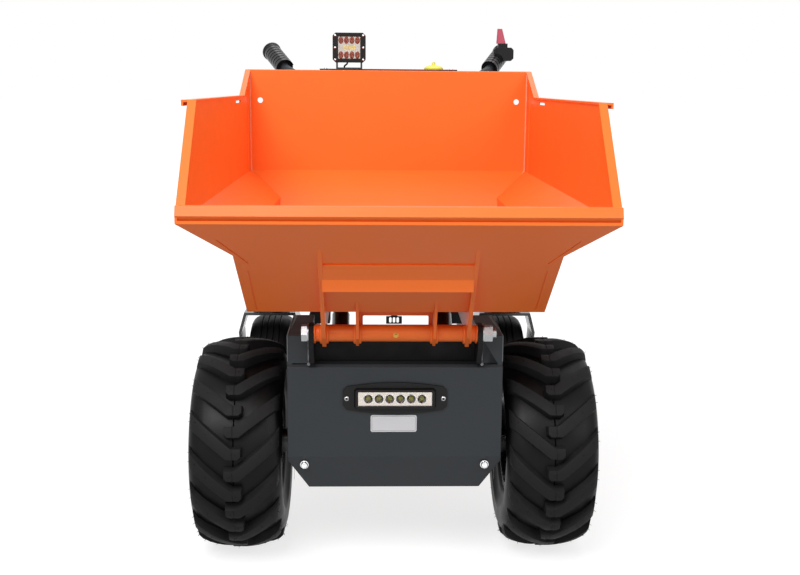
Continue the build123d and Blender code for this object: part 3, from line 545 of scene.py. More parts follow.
def tidy_mesh(mesh, angle=35.0):
    """Merge doubled points, face outwards and keep edges sharper than angle."""
    work = bmesh.new()
    work.from_mesh(mesh)
    bmesh.ops.remove_doubles(work, verts=work.verts, dist=0.01 * MM)
    bmesh.ops.recalc_face_normals(work, faces=work.faces)
    work.to_mesh(mesh)
    work.free()
    mesh.shade_smooth()
    mesh.set_sharp_from_angle(angle=math.radians(angle))


def turned(name, outline, steps, material, closed=True):
    """Turn an outline of (along X, radius) about the X axis, in millimetres."""
    points = []
    rings = []
    for along, radius in outline:
        if radius == 0.0:
            rings.append([len(points)] * steps)
            points.append((along, 0.0, 0.0))
            continue
        rings.append(list(range(len(points), len(points) + steps)))
        for step in range(steps):
            angle = 2.0 * math.pi * step / steps
            points.append((along, radius * math.cos(angle), radius * math.sin(angle)))
    faces = []
    pairs = list(zip(rings[:-1], rings[1:]))
    if closed:
        pairs.append((rings[-1], rings[0]))
    for low, high in pairs:
        for step in range(steps):
            after = (step + 1) % steps
            corners = [low[step], low[after], high[after], high[step]]
            unique = list(dict.fromkeys(corners))
            if len(unique) > 2:
                faces.append(unique)
    return piece_from(name, points, faces, material)


def join_into(target, others):
    """Add the meshes of other pieces to a piece, with their finishes, and remove them."""
    work = bmesh.new()
    work.from_mesh(target.data)
    coats = target.data.materials
    for other in others:
        for coat in other.data.materials:
            if coat and coat.name not in coats:
                coats.append(coat)
        known = len(work.faces)
        work.from_mesh(other.data)
        work.faces.ensure_lookup_table()
        if other.data.materials and other.data.materials[0]:
            place = coats.find(other.data.materials[0].name)
            for face in work.faces[known:]:
                face.material_index = place
        bpy.data.objects.remove(other)
    work.to_mesh(target.data)
    work.free()


def ride(piece, body, slot, *replaced):
    """Hang a finished piece on its body and hide the nodes it stands for; slot is not used."""
    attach(piece, body)
    if replaced:
        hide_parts(*replaced)


# ------------------------------------------------------------------ geometry trees


def start_tree(name, sizes):
    """Start a geometry tree whose named inputs are the given sizes."""
    tree = bpy.data.node_groups.new(name, "GeometryNodeTree")
    tree.interface.new_socket("Geometry", in_out="INPUT", socket_type="NodeSocketGeometry")
    for label, kind in sizes:
        tree.interface.new_socket(label, in_out="INPUT", socket_type=kind)
    tree.interface.new_socket("Geometry", in_out="OUTPUT", socket_type="NodeSocketGeometry")
    return tree, add_node(tree, "NodeGroupInput").outputs


def end_tree(tree, geometry, material):
    """Realize what a tree has made and give it its material."""
    real = add_node(tree, "GeometryNodeRealizeInstances", {"Geometry": geometry})
    painted = add_node(tree, "GeometryNodeSetMaterial", {"Geometry": real.outputs[0], "Material": material})
    add_node(tree, "NodeGroupOutput", {0: painted.outputs[0]})
    return tree


def copies_tree():
    """Copies of one piece at points, each turned to face its point's own way."""
    tree, given = start_tree(
        "Copies at points",
        (("Piece", "NodeSocketObject"), ("Finish", "NodeSocketMaterial")),
    )
    piece = add_node(tree, "GeometryNodeObjectInfo", {"Object": given["Piece"]})
    facing = add_node(tree, "GeometryNodeInputNamedAttribute", {"Name": "facing"}, data_type="FLOAT_VECTOR")
    turn = add_node(tree, "FunctionNodeAlignRotationToVector", {"Vector": facing.outputs[0]}, axis="X")
    placed = add_node(
        tree,
        "GeometryNodeInstanceOnPoints",
        {"Points": given["Geometry"], "Instance": piece.outputs["Geometry"], "Rotation": turn.outputs[0]},
    )
    return end_tree(tree, placed.outputs[0], given["Finish"])


def ring_tree():
    """Copies of the base piece turned round the X axis, then moved to the axle."""
    tree, given = start_tree(
        "Copies round an axle",
        (
            ("Count", "NodeSocketInt"),
            ("Phase", "NodeSocketFloat"),
            ("Centre", "NodeSocketVector"),
            ("Finish", "NodeSocketMaterial"),
        ),
    )
    points = add_node(
        tree,
        "GeometryNodeMeshLine",
        {"Count": given["Count"], "Start Location": given["Centre"], "Offset": (0, 0, 0)},
    )
    index = add_node(tree, "GeometryNodeInputIndex")
    shifted = maths(tree, "ADD", index.outputs[0], given["Phase"])
    share = maths(tree, "DIVIDE", shifted, given["Count"])
    turn = add_node(tree, "ShaderNodeCombineXYZ", {"X": maths(tree, "MULTIPLY", share, 2.0 * math.pi)})
    placed = add_node(
        tree,
        "GeometryNodeInstanceOnPoints",
        {"Points": points.outputs[0], "Instance": given["Geometry"], "Rotation": turn.outputs[0]},
    )
    return end_tree(tree, placed.outputs[0], given["Finish"])


def bead_tree():
    """A rippled bead along the edges of the base mesh."""
    tree, given = start_tree(
        "Bead along a seam",
        (("Radius", "NodeSocketFloat"), ("Pitch", "NodeSocketFloat"), ("Finish", "NodeSocketMaterial")),
    )
    line = add_node(tree, "GeometryNodeMeshToCurve", {"Mesh": given["Geometry"]})
    half = maths(tree, "MULTIPLY", given["Pitch"], 0.5)
    even = add_node(
        tree,
        "GeometryNodeResampleCurve",
        {"Curve": line.outputs[0], "Length": half},
        mode="LENGTH",
    )
    index = add_node(tree, "GeometryNodeInputIndex")
    odd = maths(tree, "MODULO", index.outputs[0], 2.0)
    swell = add_node(tree, "ShaderNodeMapRange", {"Value": odd, "To Min": 0.82, "To Max": 1.1})
    swollen = {"Curve": even.outputs[0], "Radius": swell.outputs[0]}
    rippled = add_node(tree, "GeometryNodeSetCurveRadius", swollen)
    ring = add_node(tree, "GeometryNodeCurvePrimitiveCircle", {"Resolution": 6, "Radius": given["Radius"]})
    bead = add_node(
        tree,
        "GeometryNodeCurveToMesh",
        {"Curve": rippled.outputs[0], "Profile Curve": ring.outputs[0], "Fill Caps": True},
    )
    return end_tree(tree, bead.outputs[0], given["Finish"])


def coil_tree():
    """A flat band wound up the Z axis."""
    tree, given = start_tree(
        "Wound band",
        (
            ("Turns", "NodeSocketFloat"),
            ("Radius", "NodeSocketFloat"),
            ("Length", "NodeSocketFloat"),
            ("Width", "NodeSocketFloat"),
            ("Thickness", "NodeSocketFloat"),
            ("Finish", "NodeSocketMaterial"),
        ),
    )
    helix = add_node(
        tree,
        "GeometryNodeCurveSpiral",
        {
            "Resolution": 20,
            "Rotations": given["Turns"],
            "Start Radius": given["Radius"],
            "End Radius": given["Radius"],
            "Height": given["Length"],
        },
    )
    upright = add_node(tree, "GeometryNodeSetCurveNormal", {"Curve": helix.outputs[0]}, mode="Z_UP")
    section = add_node(
        tree,
        "GeometryNodeCurvePrimitiveQuadrilateral",
        {"Width": given["Thickness"], "Height": given["Width"]},
    )
    band = add_node(
        tree,
        "GeometryNodeCurveToMesh",
        {"Curve": upright.outputs[0], "Profile Curve": section.outputs[0], "Fill Caps": True},
    )
    return end_tree(tree, band.outputs[0], given["Finish"])


TREES = {}


def keep_result(piece, modifier):
    """Make what a modifier gives the plain mesh of its piece."""
    graph = bpy.context.evaluated_depsgraph_get()
    mesh = bpy.data.meshes.new_from_object(piece.evaluated_get(graph))
    piece.modifiers.remove(modifier)
    piece.data = mesh


def grown(piece, tree_name, **sizes):
    """Run a geometry tree on a piece and keep the result as its plain mesh."""
    modifier = piece.modifiers.new(tree_name, "NODES")
    modifier.node_group = TREES[tree_name]
    for item in modifier.node_group.interface.items_tree:
        if item.in_out == "INPUT" and item.name in sizes:
            modifier[item.identifier] = sizes[item.name]
    keep_result(piece, modifier)
    if not piece.data.polygons:
        raise RuntimeError(f"{piece.name}: the {tree_name} tree made nothing")
    return piece


def copies(name, part, spots, material):
    """Copies of part at spots, which are rows of x, y, z and a facing direction, in millimetres."""
    mesh = bpy.data.meshes.new(name)
    mesh.from_pydata([Vector(spot[:3]) * MM for spot in spots], [], [])
    ways = mesh.attributes.new("facing", "FLOAT_VECTOR", "POINT")
    for number, spot in enumerate(spots):
        ways.data[number].vector = Vector(spot[3:6]).normalized()
    piece = add_object(name, mesh)
    grown(piece, "copies", Piece=part, Finish=material)
    tidy_mesh(piece.data, 28.0)
    return piece


def hex_head(across, height, washer=1.5):
    """A hex bolt head on its washer, facing +X."""
    corner = across / math.sqrt(3.0)
    head = turned(
        "hex_head",
        ((0.0, 0.0), (0.0, corner), (height * 0.8, corner), (height, corner * 0.84), (height, 0.0)),
        6,
        None,
        closed=False,
    )
    ring = turned(
        "washer",
        ((0.0, 0.0), (0.0, across * 0.95), (washer, across * 0.95), (washer, 0.0)),
        20,
        None,
        closed=False,
    )
    for point in head.data.vertices:
        point.co.x += washer * MM
    join_into(head, [ring])
    return head


def dome_head(radius, height):
    """A domed button head with a socket, facing +X."""
    outline = (
        (0.0, 0.0),
        (0.0, radius),
        (height * 0.35, radius * 0.96),
        (height * 0.75, radius * 0.78),
        (height, radius * 0.45),
        (height * 0.55, radius * 0.4),
        (height * 0.55, 0.0),
    )
    return turned("dome_head", outline, 16, None, closed=False)


# ------------------------------------------------------------------ drive tyre

FRONT_CENTRE = Vector((327.0, -330.0, 228.5))
TYRE_STEPS = 96
# Half of the carcass, from the bead over the shoulder to the middle: offset, radius
DRIVE_SECTION = (
    (-72.0, 104.0),
    (-72.0, 112.0),
    (-77.0, 117.0),
    (-80.5, 119.0),
    (-83.0, 124.0),
    (-82.5, 128.0),
    (-85.0, 134.0),
    (-90.0, 145.0),
    (-93.0, 148.0),
    (-94.0, 151.0),
    (-93.6, 154.0),
    (-95.0, 161.0),
    (-95.5, 170.0),
    (-94.0, 180.0),
    (-89.5, 190.0),
    (-81.0, 198.0),
    (-60.0, 203.5),
    (-30.0, 206.0),
    (-1.5, 206.8),
    (0.0, 209.0),
)
# Crest of a bar: distance from the tyre's middle, radius
CREST = (
    (0.0, 228.2),
    (18.0, 228.0),
    (36.0, 225.6),
    (52.0, 222.4),
    (66.0, 218.4),
    (80.0, 212.4),
    (87.0, 206.5),
    (91.0, 192.0),
)
# Stations along a bar; the three round 0 cut the groove left by the mould's joint
BAR_STATIONS = (-17.0, -11.0, -1.5, 0.0, 1.5, 8.0, 13.0, 24.0, 38.0, 52.0, 66.0, 80.0, 87.0, 91.0)
JOINT_GROOVE = 1.6
BAR_FOOT_RADIUS = 186.0
BAR_FLARE = 4.0  # how far the foot of a bar spreads to each side
TIP_FLARE = 3.0  # how far it spreads past the bar's inner end
BAR_ROUNDING = 1.3
CREST_FROM = 200.0  # edges nearer to the axle stay sharp
# A bar from outside: its edges run straight across to a bend, then sweep back
HALF_FOOT = 11.0
FRONT_BEND = 12.0
FRONT_SWEEP = 0.8
BACK_BEND = 3.0
BACK_SWEEP = 0.81
TIP_START = -11.0  # beyond it the front corner is cut off
TIP_CUT = 6.0


def crown_radius(offset):
    """Outer radius of the bars at an offset from the tyre's middle."""
    offset = abs(offset)
    for (near, near_radius), (far, far_radius) in zip(CREST[:-1], CREST[1:]):
        if offset <= far:
            return near_radius + (far_radius - near_radius) * (offset - near) / (far - near)
    return CREST[-1][1]


def bar_edges(offset):
    """Front and back edge of a bar at an offset, as distances round the tyre."""
    front = -HALF_FOOT + max(0.0, offset - FRONT_BEND) * FRONT_SWEEP
    if offset < TIP_START:
        front += TIP_CUT
    back = HALF_FOOT + max(0.0, offset - BACK_BEND) * BACK_SWEEP
    return front, back


def tread_bar(hand):
    """One bar: a foot across the middle and an arm that sweeps back to the shoulder."""
    work = bmesh.new()
    rows = []
    for offset in BAR_STATIONS:
        front, back = bar_edges(offset)
        radius = crown_radius(offset) - (JOINT_GROOVE if offset == 0.0 else 0.0)
        top = []
        for share in (0.0, 0.5, 1.0):
            round_way = front + (back - front) * share
            height = math.sqrt(radius * radius - round_way * round_way)
            top.append(work.verts.new(Vector((hand * offset, round_way, height)) * MM))
        foot = []
        for round_way in (front - BAR_FLARE, back + BAR_FLARE):
            height = math.sqrt(BAR_FOOT_RADIUS**2 - round_way * round_way)
            reach = offset - TIP_FLARE if offset == BAR_STATIONS[0] else offset
            foot.append(work.verts.new(Vector((hand * reach, round_way, min(height, radius))) * MM))
        rows.append((top, foot))
    for (top_a, foot_a), (top_b, foot_b) in zip(rows[:-1], rows[1:]):
        for near in range(2):
            work.faces.new((top_a[near], top_a[near + 1], top_b[near + 1], top_b[near]))
        work.faces.new((top_a[0], top_b[0], foot_b[0], foot_a[0]))
        work.faces.new((top_a[2], foot_a[1], foot_b[1], top_b[2]))
        work.faces.new((foot_a[0], foot_b[0], foot_b[1], foot_a[1]))
    for top, foot in (rows[0], rows[-1]):
        work.faces.new((*top, foot[1], foot[0]))
    bmesh.ops.recalc_face_normals(work, faces=work.faces)
    crest = [
        edge
        for edge in work.edges
        if all(vert.co.length > CREST_FROM * MM for vert in edge.verts)
        and len(edge.link_faces) == 2
        and edge.calc_face_angle(0.0) > math.radians(50.0)
    ]
    bmesh.ops.bevel(work, geom=crest, offset=BAR_ROUNDING * MM, segments=2, profile=0.6, affect="EDGES")
    return from_work("tread_bar", work)


# Moulding hairs on a bar: offset, distance round, lean outwards, share of the full length
HAIRS = (
    (88.0, 62.0, 1.0, 1.0),
    (89.0, 78.0, 1.0, 0.8),
    (76.0, 62.0, 0.5, 0.7),
    (54.0, 40.0, 0.2, 0.6),
    (-6.0, 0.0, 0.0, 0.6),
)


def bar_hairs(hand, length):
    """Thin moulding hairs on one bar's shoulder and foot."""
    work = bmesh.new()
    for offset, round_way, lean, share in HAIRS:
        radius = crown_radius(offset)
        height = math.sqrt(radius * radius - round_way * round_way)
        root = Vector((hand * offset, round_way, height)) * MM
        way = Vector((hand * lean, round_way / radius, height / radius)).normalized()
        reach = length * share
        turn = Vector((0, 0, 1)).rotation_difference(way).to_matrix().to_4x4()
        bmesh.ops.create_cone(
            work,
            segments=4,
            radius1=0.6 * MM,
            radius2=0.35 * MM,
            depth=reach,
            cap_ends=True,
            matrix=Matrix.Translation(root + way * reach * 0.4) @ turn,
        )
    return from_work("hairs", work)


class DUMPER_OT_drive_tyres(bpy.types.Operator):
    """Build the two lugged drive tyres"""

    bl_idname = "dumper.drive_tyres"
    bl_label = "Drive tyres"

    def execute(self, context):
        settings = context.scene.dumper_tread
        # The carcass gets the darker rubber, painted shade between the bars; the bars get the paler one,
        # partly painted light
        rubber = finish("rubber_carcass")
        crest = finish("rubber_bars")
        mirrored = [(-along, radius) for along, radius in reversed(DRIVE_SECTION[:-1])]
        for side, tag in SIDES:
            centre = on_side(FRONT_CENTRE, side)
            tyre = turned(f"drive_tyre_{tag}", (*DRIVE_SECTION, *mirrored), TYRE_STEPS, rubber)
            tyre.data.transform(Matrix.Translation(centre))
            extras = []
            for hand, phase in ((1.0, 0.0), (-1.0, 0.5)):
                ring = {"Count": settings.bars, "Phase": phase, "Centre": centre, "Finish": crest}
                for part in (tread_bar(hand), bar_hairs(hand, settings.hair)):
                    extras.append(grown(part, "ring", **ring))
            join_into(tyre, extras)
            tidy_mesh(tyre.data, 40.0)
            ride(tyre, f"front_wheel_{tag}", "drive_tyre", f"front_tyre_{tag}")
        return {"FINISHED"}


# ------------------------------------------------------------------ caster tyre

CASTER_CENTRE = Vector((335.0, 504.0, 165.0))
# One flank of the tyre, from the bead to the tread: offset, radius
CASTER_FLANK = (
    (-46.0, 76.0),
    (-46.5, 86.0),
    (-50.0, 92.0),
    (-56.5, 98.0),
    (-59.5, 103.0),
    (-62.0, 111.0),
    (-63.5, 122.0),
    (-63.0, 134.0),
    (-60.6, 144.0),
    (-56.0, 152.2),
    (-49.0, 158.4),
    (-40.0, 162.3),
    (-34.0, 163.8),
)
# Grooves of the tread: offset of the middle, radius of the ribs beside it
GROOVES = ((-25.7, 164.6), (-8.6, 165.0), (8.6, 165.0), (25.7, 164.6))
GROOVE_MOUTH = 2.6  # half the width at the tread
GROOVE_FLOOR = 1.9  # half the width at the bottom
GROOVE_DEPTH = 6.0


class DUMPER_OT_caster_tyres(bpy.types.Operator):
    """Build the two ribbed caster tyres"""

    bl_idname = "dumper.caster_tyres"
    bl_label = "Caster tyres"

    def execute(self, context):
        outline = list(CASTER_FLANK)
        for middle, crest in GROOVES:
            outline += [
                (middle - GROOVE_MOUTH, crest),
                (middle - GROOVE_FLOOR, crest - GROOVE_DEPTH),
                (middle + GROOVE_FLOOR, crest - GROOVE_DEPTH),
                (middle + GROOVE_MOUTH, crest),
            ]
        outline += [(-along, radius) for along, radius in reversed(CASTER_FLANK)]
        for side, tag in SIDES:
            centre = on_side(CASTER_CENTRE, side)
            tyre = turned(f"ribbed_tyre_{tag}", outline, TYRE_STEPS, finish("vulcanised_rubber"))
            tyre.data.transform(Matrix.Translation(centre))
            tidy_mesh(tyre.data, 50.0)
            ride(tyre, f"caster_wheel_{tag}", "caster_tyre", f"caster_tyre_{tag}")
        return {"FINISHED"}


# ------------------------------------------------------------------ frame finishes

# CAD nodes: finish, and width of their broken edges in mm, none where 0
NODE_FINISHES = {
    "skip_shell": ("powder_coat_orange", 1.4),
    "skip_underframe": ("powder_coat_orange", 1.0),
    "pivot_tube": ("powder_coat_orange", 0.0),
    "front_cover": ("powder_coat_slate", 1.0),
    "front_subframe": ("powder_coat_slate", 0.8),
    # Near black: painted shade of the recess under the skip
    "pivot_ears": ("brushed_black_paint", 1.0),
    "pivot_pin": ("zinc_plate", 0.0),
    "transaxle": ("sand_cast_iron", 0.0),
    "main_frame": ("powder_coat_slate", 1.5),
    "skip_stops": ("moulded_rubber_buffer", 0.0),
    "engine_deck": ("powder_coat_slate", 1.0),
    "engine_block": ("die_cast_aluminium", 0.6),
    "engine_shroud": ("moulded_abs", 0.0),
    "fuel_tank": ("stoved_enamel_tank", 2.0),
    "air_cleaner": ("moulded_abs", 1.5),
    "muffler": ("scaled_steel", 1.0),
    "hydraulic_pump": ("die_cast_aluminium", 0.8),
    "suction_hose": ("braided_hose", 0.0),
    "pressure_hose": ("braided_hose", 0.0),
    "console_frame": ("powder_coat_slate", 1.2),
    "console_plate": ("powder_coat_slate", 0.6),
    "hydraulic_tank": ("powder_coat_slate", 1.5),
    "filler_cap": ("moulded_pvc_yellow", 0.0),
    "control_levers": ("stoved_enamel_black", 0.0),
    "lamp_bracket": ("stoved_enamel_black", 0.5),
    "work_lamp": ("moulded_abs", 1.0),
    "work_lamp_lens": ("clear_polycarbonate", 0.0),
    "lamp_cable": ("braided_hose", 0.0),
    "light_bar": ("moulded_abs", 0.8),
    "light_bar_lens": ("clear_polycarbonate", 0.0),
    "lever_clamp": ("moulded_abs", 2.5),
    "brake_lever": ("moulded_pvc_red", 1.5),
    "handlebar": ("powder_coat_slate", 0.0),
    "grip": ("wrapped_nylon", 0.0),
    "front_tyre": ("vulcanised_rubber", 0.0),
    "front_rim": ("satin_enamel_rim", 0.0),
    "caster_fork": ("gloss_enamel_fork", 1.2),
    "caster_tyre": ("vulcanised_rubber", 0.0),
    "caster_rim": ("satin_enamel_rim", 0.0),
    "lift_barrel": ("stoved_enamel_black", 0.0),
    "lift_rod": ("hard_chrome", 0.0),
}


class DUMPER_OT_frame_finishes(bpy.types.Operator):
    """Give every CAD node its finish and soft edges"""

    bl_idname = "dumper.frame_finishes"
    bl_label = "Frame finishes"

    def execute(self, context):
        for name, node in NODES.items():
            family = name if name in NODE_FINISHES else name.rsplit("_", 1)[0]
            coat, edge = NODE_FINISHES[family]
            for slot in node.material_slots:
                slot.material = finish(coat)
            if edge:
                node.modifiers.new("Weld", "WELD").merge_threshold = 0.02 * MM
                bevel = node.modifiers.new("Edges", "BEVEL")
                bevel.width = edge * MM
                bevel.segments = 2
                bevel.limit_method = "ANGLE"
                bevel.angle_limit = math.radians(28.0)
                bevel.use_clamp_overlap = True
        return {"FINISHED"}


# ------------------------------------------------------------------ welds

PIVOT = Vector((0.0, -524.0, 516.5))
TUBE_RADIUS = 17.0
BEAD_LIFT = 1.6  # from the tube's skin to the middle of a bead
# Ribs that hold the pivot tube: middle, thickness
RIBS = ((-142.0, 8.0), (142.0, 8.0), (-76.0, 6.0), (76.0, 6.0))


def tube_arc(across):
    """Points round the front and underside of the pivot tube."""
    reach = TUBE_RADIUS + BEAD_LIFT
    turns = [math.radians(125.0 + 15.0 * step) for step in range(11)]
    return [(across, PIVOT.y + reach * math.cos(turn), PIVOT.z + reach * math.sin(turn)) for turn in turns]


# Seams of one side: body, finish, share of the bead radius, points
SEAMS = (
    # The pale beads on the skip's inner corner and on the chassis are painted highlights along the seams
    ("skip", "weld_metal", 0.7, ((381.6, 407.4, 1034.0), (381.6, 407.4, 767.0), (301.0, 270.0, 681.5))),
    ("skip", "powder_coat_orange", 0.6, ((381.8, 340.0, 1006.0), (381.8, 340.0, 768.0))),
    ("skip", "powder_coat_orange", 0.9, ((160.5, PIVOT.y + 18.0, PIVOT.z), *tube_arc(160.5))),
    ("chassis", "weld_under_slate", 1.1, ((174.0, -519.0, 451.0), (174.0, -502.0, 451.0))),
    ("chassis", "weld_under_slate", 0.9, ((174.5, -500.6, 452.0), (174.5, -500.6, 503.0))),
    ("chassis", "weld_under_slate", 0.35, ((217.4, -500.2, 452.0), (217.4, -500.2, 504.8))),
    ("chassis", "weld_under_slate", 0.35, ((217.4, -499.8, 504.8), (217.4, -310.0, 504.8))),
    ("chassis", "powder_coat_slate", 1.2, ((209.0, 403.0, 386.0), (209.0, 403.0, 414.0))),
    ("chassis", "powder_coat_slate", 1.2, ((209.0, 465.0, 386.0), (209.0, 465.0, 414.0))),
    ("chassis", "powder_coat_slate", 1.0, ((290.0, 403.0, 384.5), (380.0, 403.0, 384.5))),
    ("chassis", "powder_coat_slate", 1.0, ((290.0, 465.0, 384.5), (380.0, 465.0, 384.5))),
)
RIB_SEAM = ("skip", "powder_coat_orange", 1.15)
RIB_SEAM_GAP = 1.8  # from a rib's face to the middle of its bead


def seams():
    """Every seam in millimetres, in the columns of SEAMS."""
    lines = []
    for side, _ in SIDES:
        for body, coat, share, points in SEAMS:
            lines.append((body, coat, share, [(side * x, y, z) for x, y, z in points]))
    for middle, thick in RIBS:
        for side, _ in SIDES:
            lines.append((*RIB_SEAM, tube_arc(middle + side * (thick / 2.0 + RIB_SEAM_GAP))))
    return lines


class DUMPER_OT_welds(bpy.types.Operator):
    """Lay the weld beads"""

    bl_idname = "dumper.welds"
    bl_label = "Welds"

    def execute(self, context):
        settings = context.scene.dumper_welds
        groups = {}
        for body, coat, share, points in seams():
            groups.setdefault((body, coat, share), []).append(points)
        for number, ((body, coat, share), lines) in enumerate(groups.items()):
            mesh = bpy.data.meshes.new(f"weld_{body}_{number}")
            corners = [Vector(point) * MM for line in lines for point in line]
            edges = []
            start = 0
            for line in lines:
                edges += [(start + step, start + step + 1) for step in range(len(line) - 1)]
                start += len(line)
            mesh.from_pydata(corners, edges, [])
            bead = add_object(mesh.name, mesh)
            grown(bead, "bead", Radius=settings.radius * share, Pitch=settings.pitch, Finish=finish(coat))
            tidy_mesh(bead.data, 60.0)
            ride(bead, body, "orange_paint" if body == "skip" else "chassis_paint")
        return {"FINISHED"}


# ------------------------------------------------------------------ lamps

FACING_FRONT = (0, -1, 0)
CELL_STEPS = 32
CELL_HALF_HIGH = 14.6
CELL_DEPTH = 4.6
CONE_FLOOR = 5.0  # radius of the cone's floor
FLOOR_SHARE = 0.12  # height of the cone's floor, as a share of the depth
END_INSET = 0.4  # from the edge of the lens to the blocks at both ends of the cells


def reflector_cell(half_wide, half_high, mouth, floor_radius, depth):
    """A block with a cone sunk into its face, round a raised ring, facing +X."""
    corner = math.atan2(half_high, half_wide)
    turns = [2.0 * math.pi * step / CELL_STEPS for step in range(CELL_STEPS)]
    for target in (corner, math.pi - corner, math.pi + corner, 2.0 * math.pi - corner):
        nearest = min(range(CELL_STEPS), key=lambda step: abs(turns[step] - target))
        turns[nearest] = target
    square = []
    for turn in turns:
        to_side = half_wide / max(abs(math.cos(turn)), 0.001)
        to_top = half_high / max(abs(math.sin(turn)), 0.001)
        reach = min(to_side, to_top)
        square.append((reach * math.cos(turn), reach * math.sin(turn)))
    floor = depth * FLOOR_SHARE
    points = [(0.0, 0.0, 0.0), (floor, 0.0, 0.0)]
    rings = []
    for along in (0.0, depth):
        rings.append(len(points))
        points += [(along, y, z) for y, z in square]
    for along, radius in (
        (depth, mouth + 0.7),
        (depth + 0.7, mouth + 0.1),
        (depth, mouth - 0.5),
        (depth * 0.5, (mouth + floor_radius) / 2.0),
        (floor, floor_radius),
    ):
        rings.append(len(points))
        points += [(along, radius * math.cos(turn), radius * math.sin(turn)) for turn in turns]
    faces = []
    for step in range(CELL_STEPS):
        after = (step + 1) % CELL_STEPS
        faces.append((0, rings[0] + after, rings[0] + step))
        faces.append((1, rings[-1] + step, rings[-1] + after))
        for low, high in zip(rings[:-1], rings[1:]):
            faces.append((low + step, low + after, high + after, high + step))
    return piece_from("cell", points, faces, None)


def sheet(name, low, high, inset, front, back, coat):
    """A flat sheet between two depths, set in from the edges of the box it fills."""
    return block(name, (low.x + inset, front, low.z + inset), (high.x - inset, back, high.z - inset), coat)


class DUMPER_OT_light_bar(bpy.types.Operator):
    """Fit the reflector, chips and pane of the front light bar"""

    bl_idname = "dumper.light_bar"
    bl_label = "Light bar"

    def execute(self, context):
        settings = context.scene.dumper_lamps
        pitch = settings.pitch / MM
        mouth = settings.cup / MM
        low, high, middle = in_mm(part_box("light_bar_lens"))
        back = high.y - 0.3
        spots = [(middle.x + pitch * (step - 2.5), back, middle.z, *FACING_FRONT) for step in range(6)]
        cell = reflector_cell(pitch / 2.0 - 0.05, CELL_HALF_HIGH, mouth, CONE_FLOOR, CELL_DEPTH)
        liner = turned(
            "liner",
            ((0.7, 4.8), (2.6, 7.2), (4.3, mouth - 1.1), (4.6, mouth - 1.5), (2.9, 6.5), (1.1, 4.8)),
            28,
            None,
        )
        ring = turned(
            "ring",
            ((4.5, mouth - 0.7), (5.2, mouth - 0.4), (5.2, mouth + 0.4), (4.5, mouth + 0.7)),
            28,
            None,
        )
        chip = turned(
            "chip",
            ((0.5, 0.0), (0.5, 5.4), (1.5, 5.0), (2.3, 3.2), (2.7, 0.0)),
            18,
            None,
            closed=False,
        )
        groups = (
            ("light_bar_cells", cell, "vapour_metallised"),
            ("light_bar_cones", liner, "shaded_reflector"),
            ("light_bar_chips", chip, "led_phosphor"),
            ("light_bar_rings", ring, "bright_chrome"),
        )
        for name, part, coat in groups:
            ride(copies(name, part, spots, finish(coat)), "chassis", "clear_lens")
            bpy.data.objects.remove(part)
        reach = 3.0 * pitch
        ends = (
            ("left", low.x + END_INSET, middle.x - reach),
            ("right", middle.x + reach, high.x - END_INSET),
        )
        for tag, near, far in ends:
            end = block(
                f"light_bar_end_{tag}",
                (near, back - CELL_DEPTH, low.z + END_INSET),
                (far, back, high.z - END_INSET),
                "vapour_metallised",
            )
            ride(end, "chassis", "clear_lens")
        pane = sheet("light_bar_pane", low, high, 0.2, low.y, low.y + 0.7, "clear_polycarbonate")
        ride(pane, "chassis", "clear_lens", "light_bar_lens")
        return {"FINISHED"}


# Work lamp: amber lenses in two rows, and a strip of chips in two rows between them
LENS_PITCH = 15.2
LENS_ROW = 20.0
LENS_STRETCH = 1.45  # height of a lens over its width
CHIP_PITCH = 5.0
CHIP_ROW = 3.6


def two_rows(middle, back, count, pitch, row_height):
    """Spots in two rows above and below the middle of the lamp's face."""
    spots = []
    for row in (-1.0, 1.0):
        for step in range(count):
            across = (step - (count - 1) / 2.0) * pitch
            spots.append((middle.x + across, back, middle.z + row * row_height, *FACING_FRONT))
    return spots


class DUMPER_OT_work_lamp(bpy.types.Operator):
    """Fit the lenses, the strip of chips and the pane of the work lamp"""

    bl_idname = "dumper.work_lamp"
    bl_label = "Work lamp"

    def execute(self, context):
        low, high, middle = in_mm(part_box("work_lamp_lens"))
        back = high.y - 0.1
        bulge = turned(
            "bulge",
            ((0.1, 0.0), (0.1, 7.1), (1.0, 6.9), (1.8, 4.6), (1.2, 2.4), (1.2, 0.0)),
            20,
            None,
            closed=False,
        )
        bulge.data.transform(Matrix.Diagonal((1.0, 1.0, LENS_STRETCH, 1.0)))
        lenses = two_rows(middle, back, 4, LENS_PITCH, LENS_ROW)
        amber = copies("work_lamp_amber", bulge, lenses, finish("amber_lens"))
        chip = piece_from("chip", box_points((0.2, -2.2, -3.1), (1.3, 2.2, 3.1)), BOX_FACES, None)
        strip = two_rows(middle, back, 7, CHIP_PITCH, CHIP_ROW)
        chips = copies("work_lamp_strip", chip, strip, finish("led_strip"))
        plate = sheet("work_lamp_reflector", low, high, 0.5, back - 0.4, back, "vapour_metallised")
        pane = sheet("work_lamp_pane", low, high, 0.1, low.y, low.y + 0.6, "clear_polycarbonate")
        for part in (amber, chips, plate):
            ride(part, "chassis", "clear_lens")
        ride(pane, "chassis", "clear_lens", "work_lamp_lens")
        for part in (bulge, chip):
            bpy.data.objects.remove(part)
        return {"FINISHED"}


# ------------------------------------------------------------------ grips

# The wrapped length of the right bar, from its lower to its upper end
GRIP_FROM = Vector((303.6, 648.8, 1049.8))
GRIP_TO = Vector((351.2, 757.6, 1099.1))
WRAP_RADIUS = 25.2
WRAP_PITCH = 17.0
WRAP_WIDTH = 12.5
WRAP_THICKNESS = 2.2
# Rolled end of the wrap: distance along the bar, radius
WRAP_END = ((-4.0, 23.0), (-4.5, 27.0), (-2.0, 28.6), (2.0, 28.6), (4.5, 27.0), (4.0, 23.0))


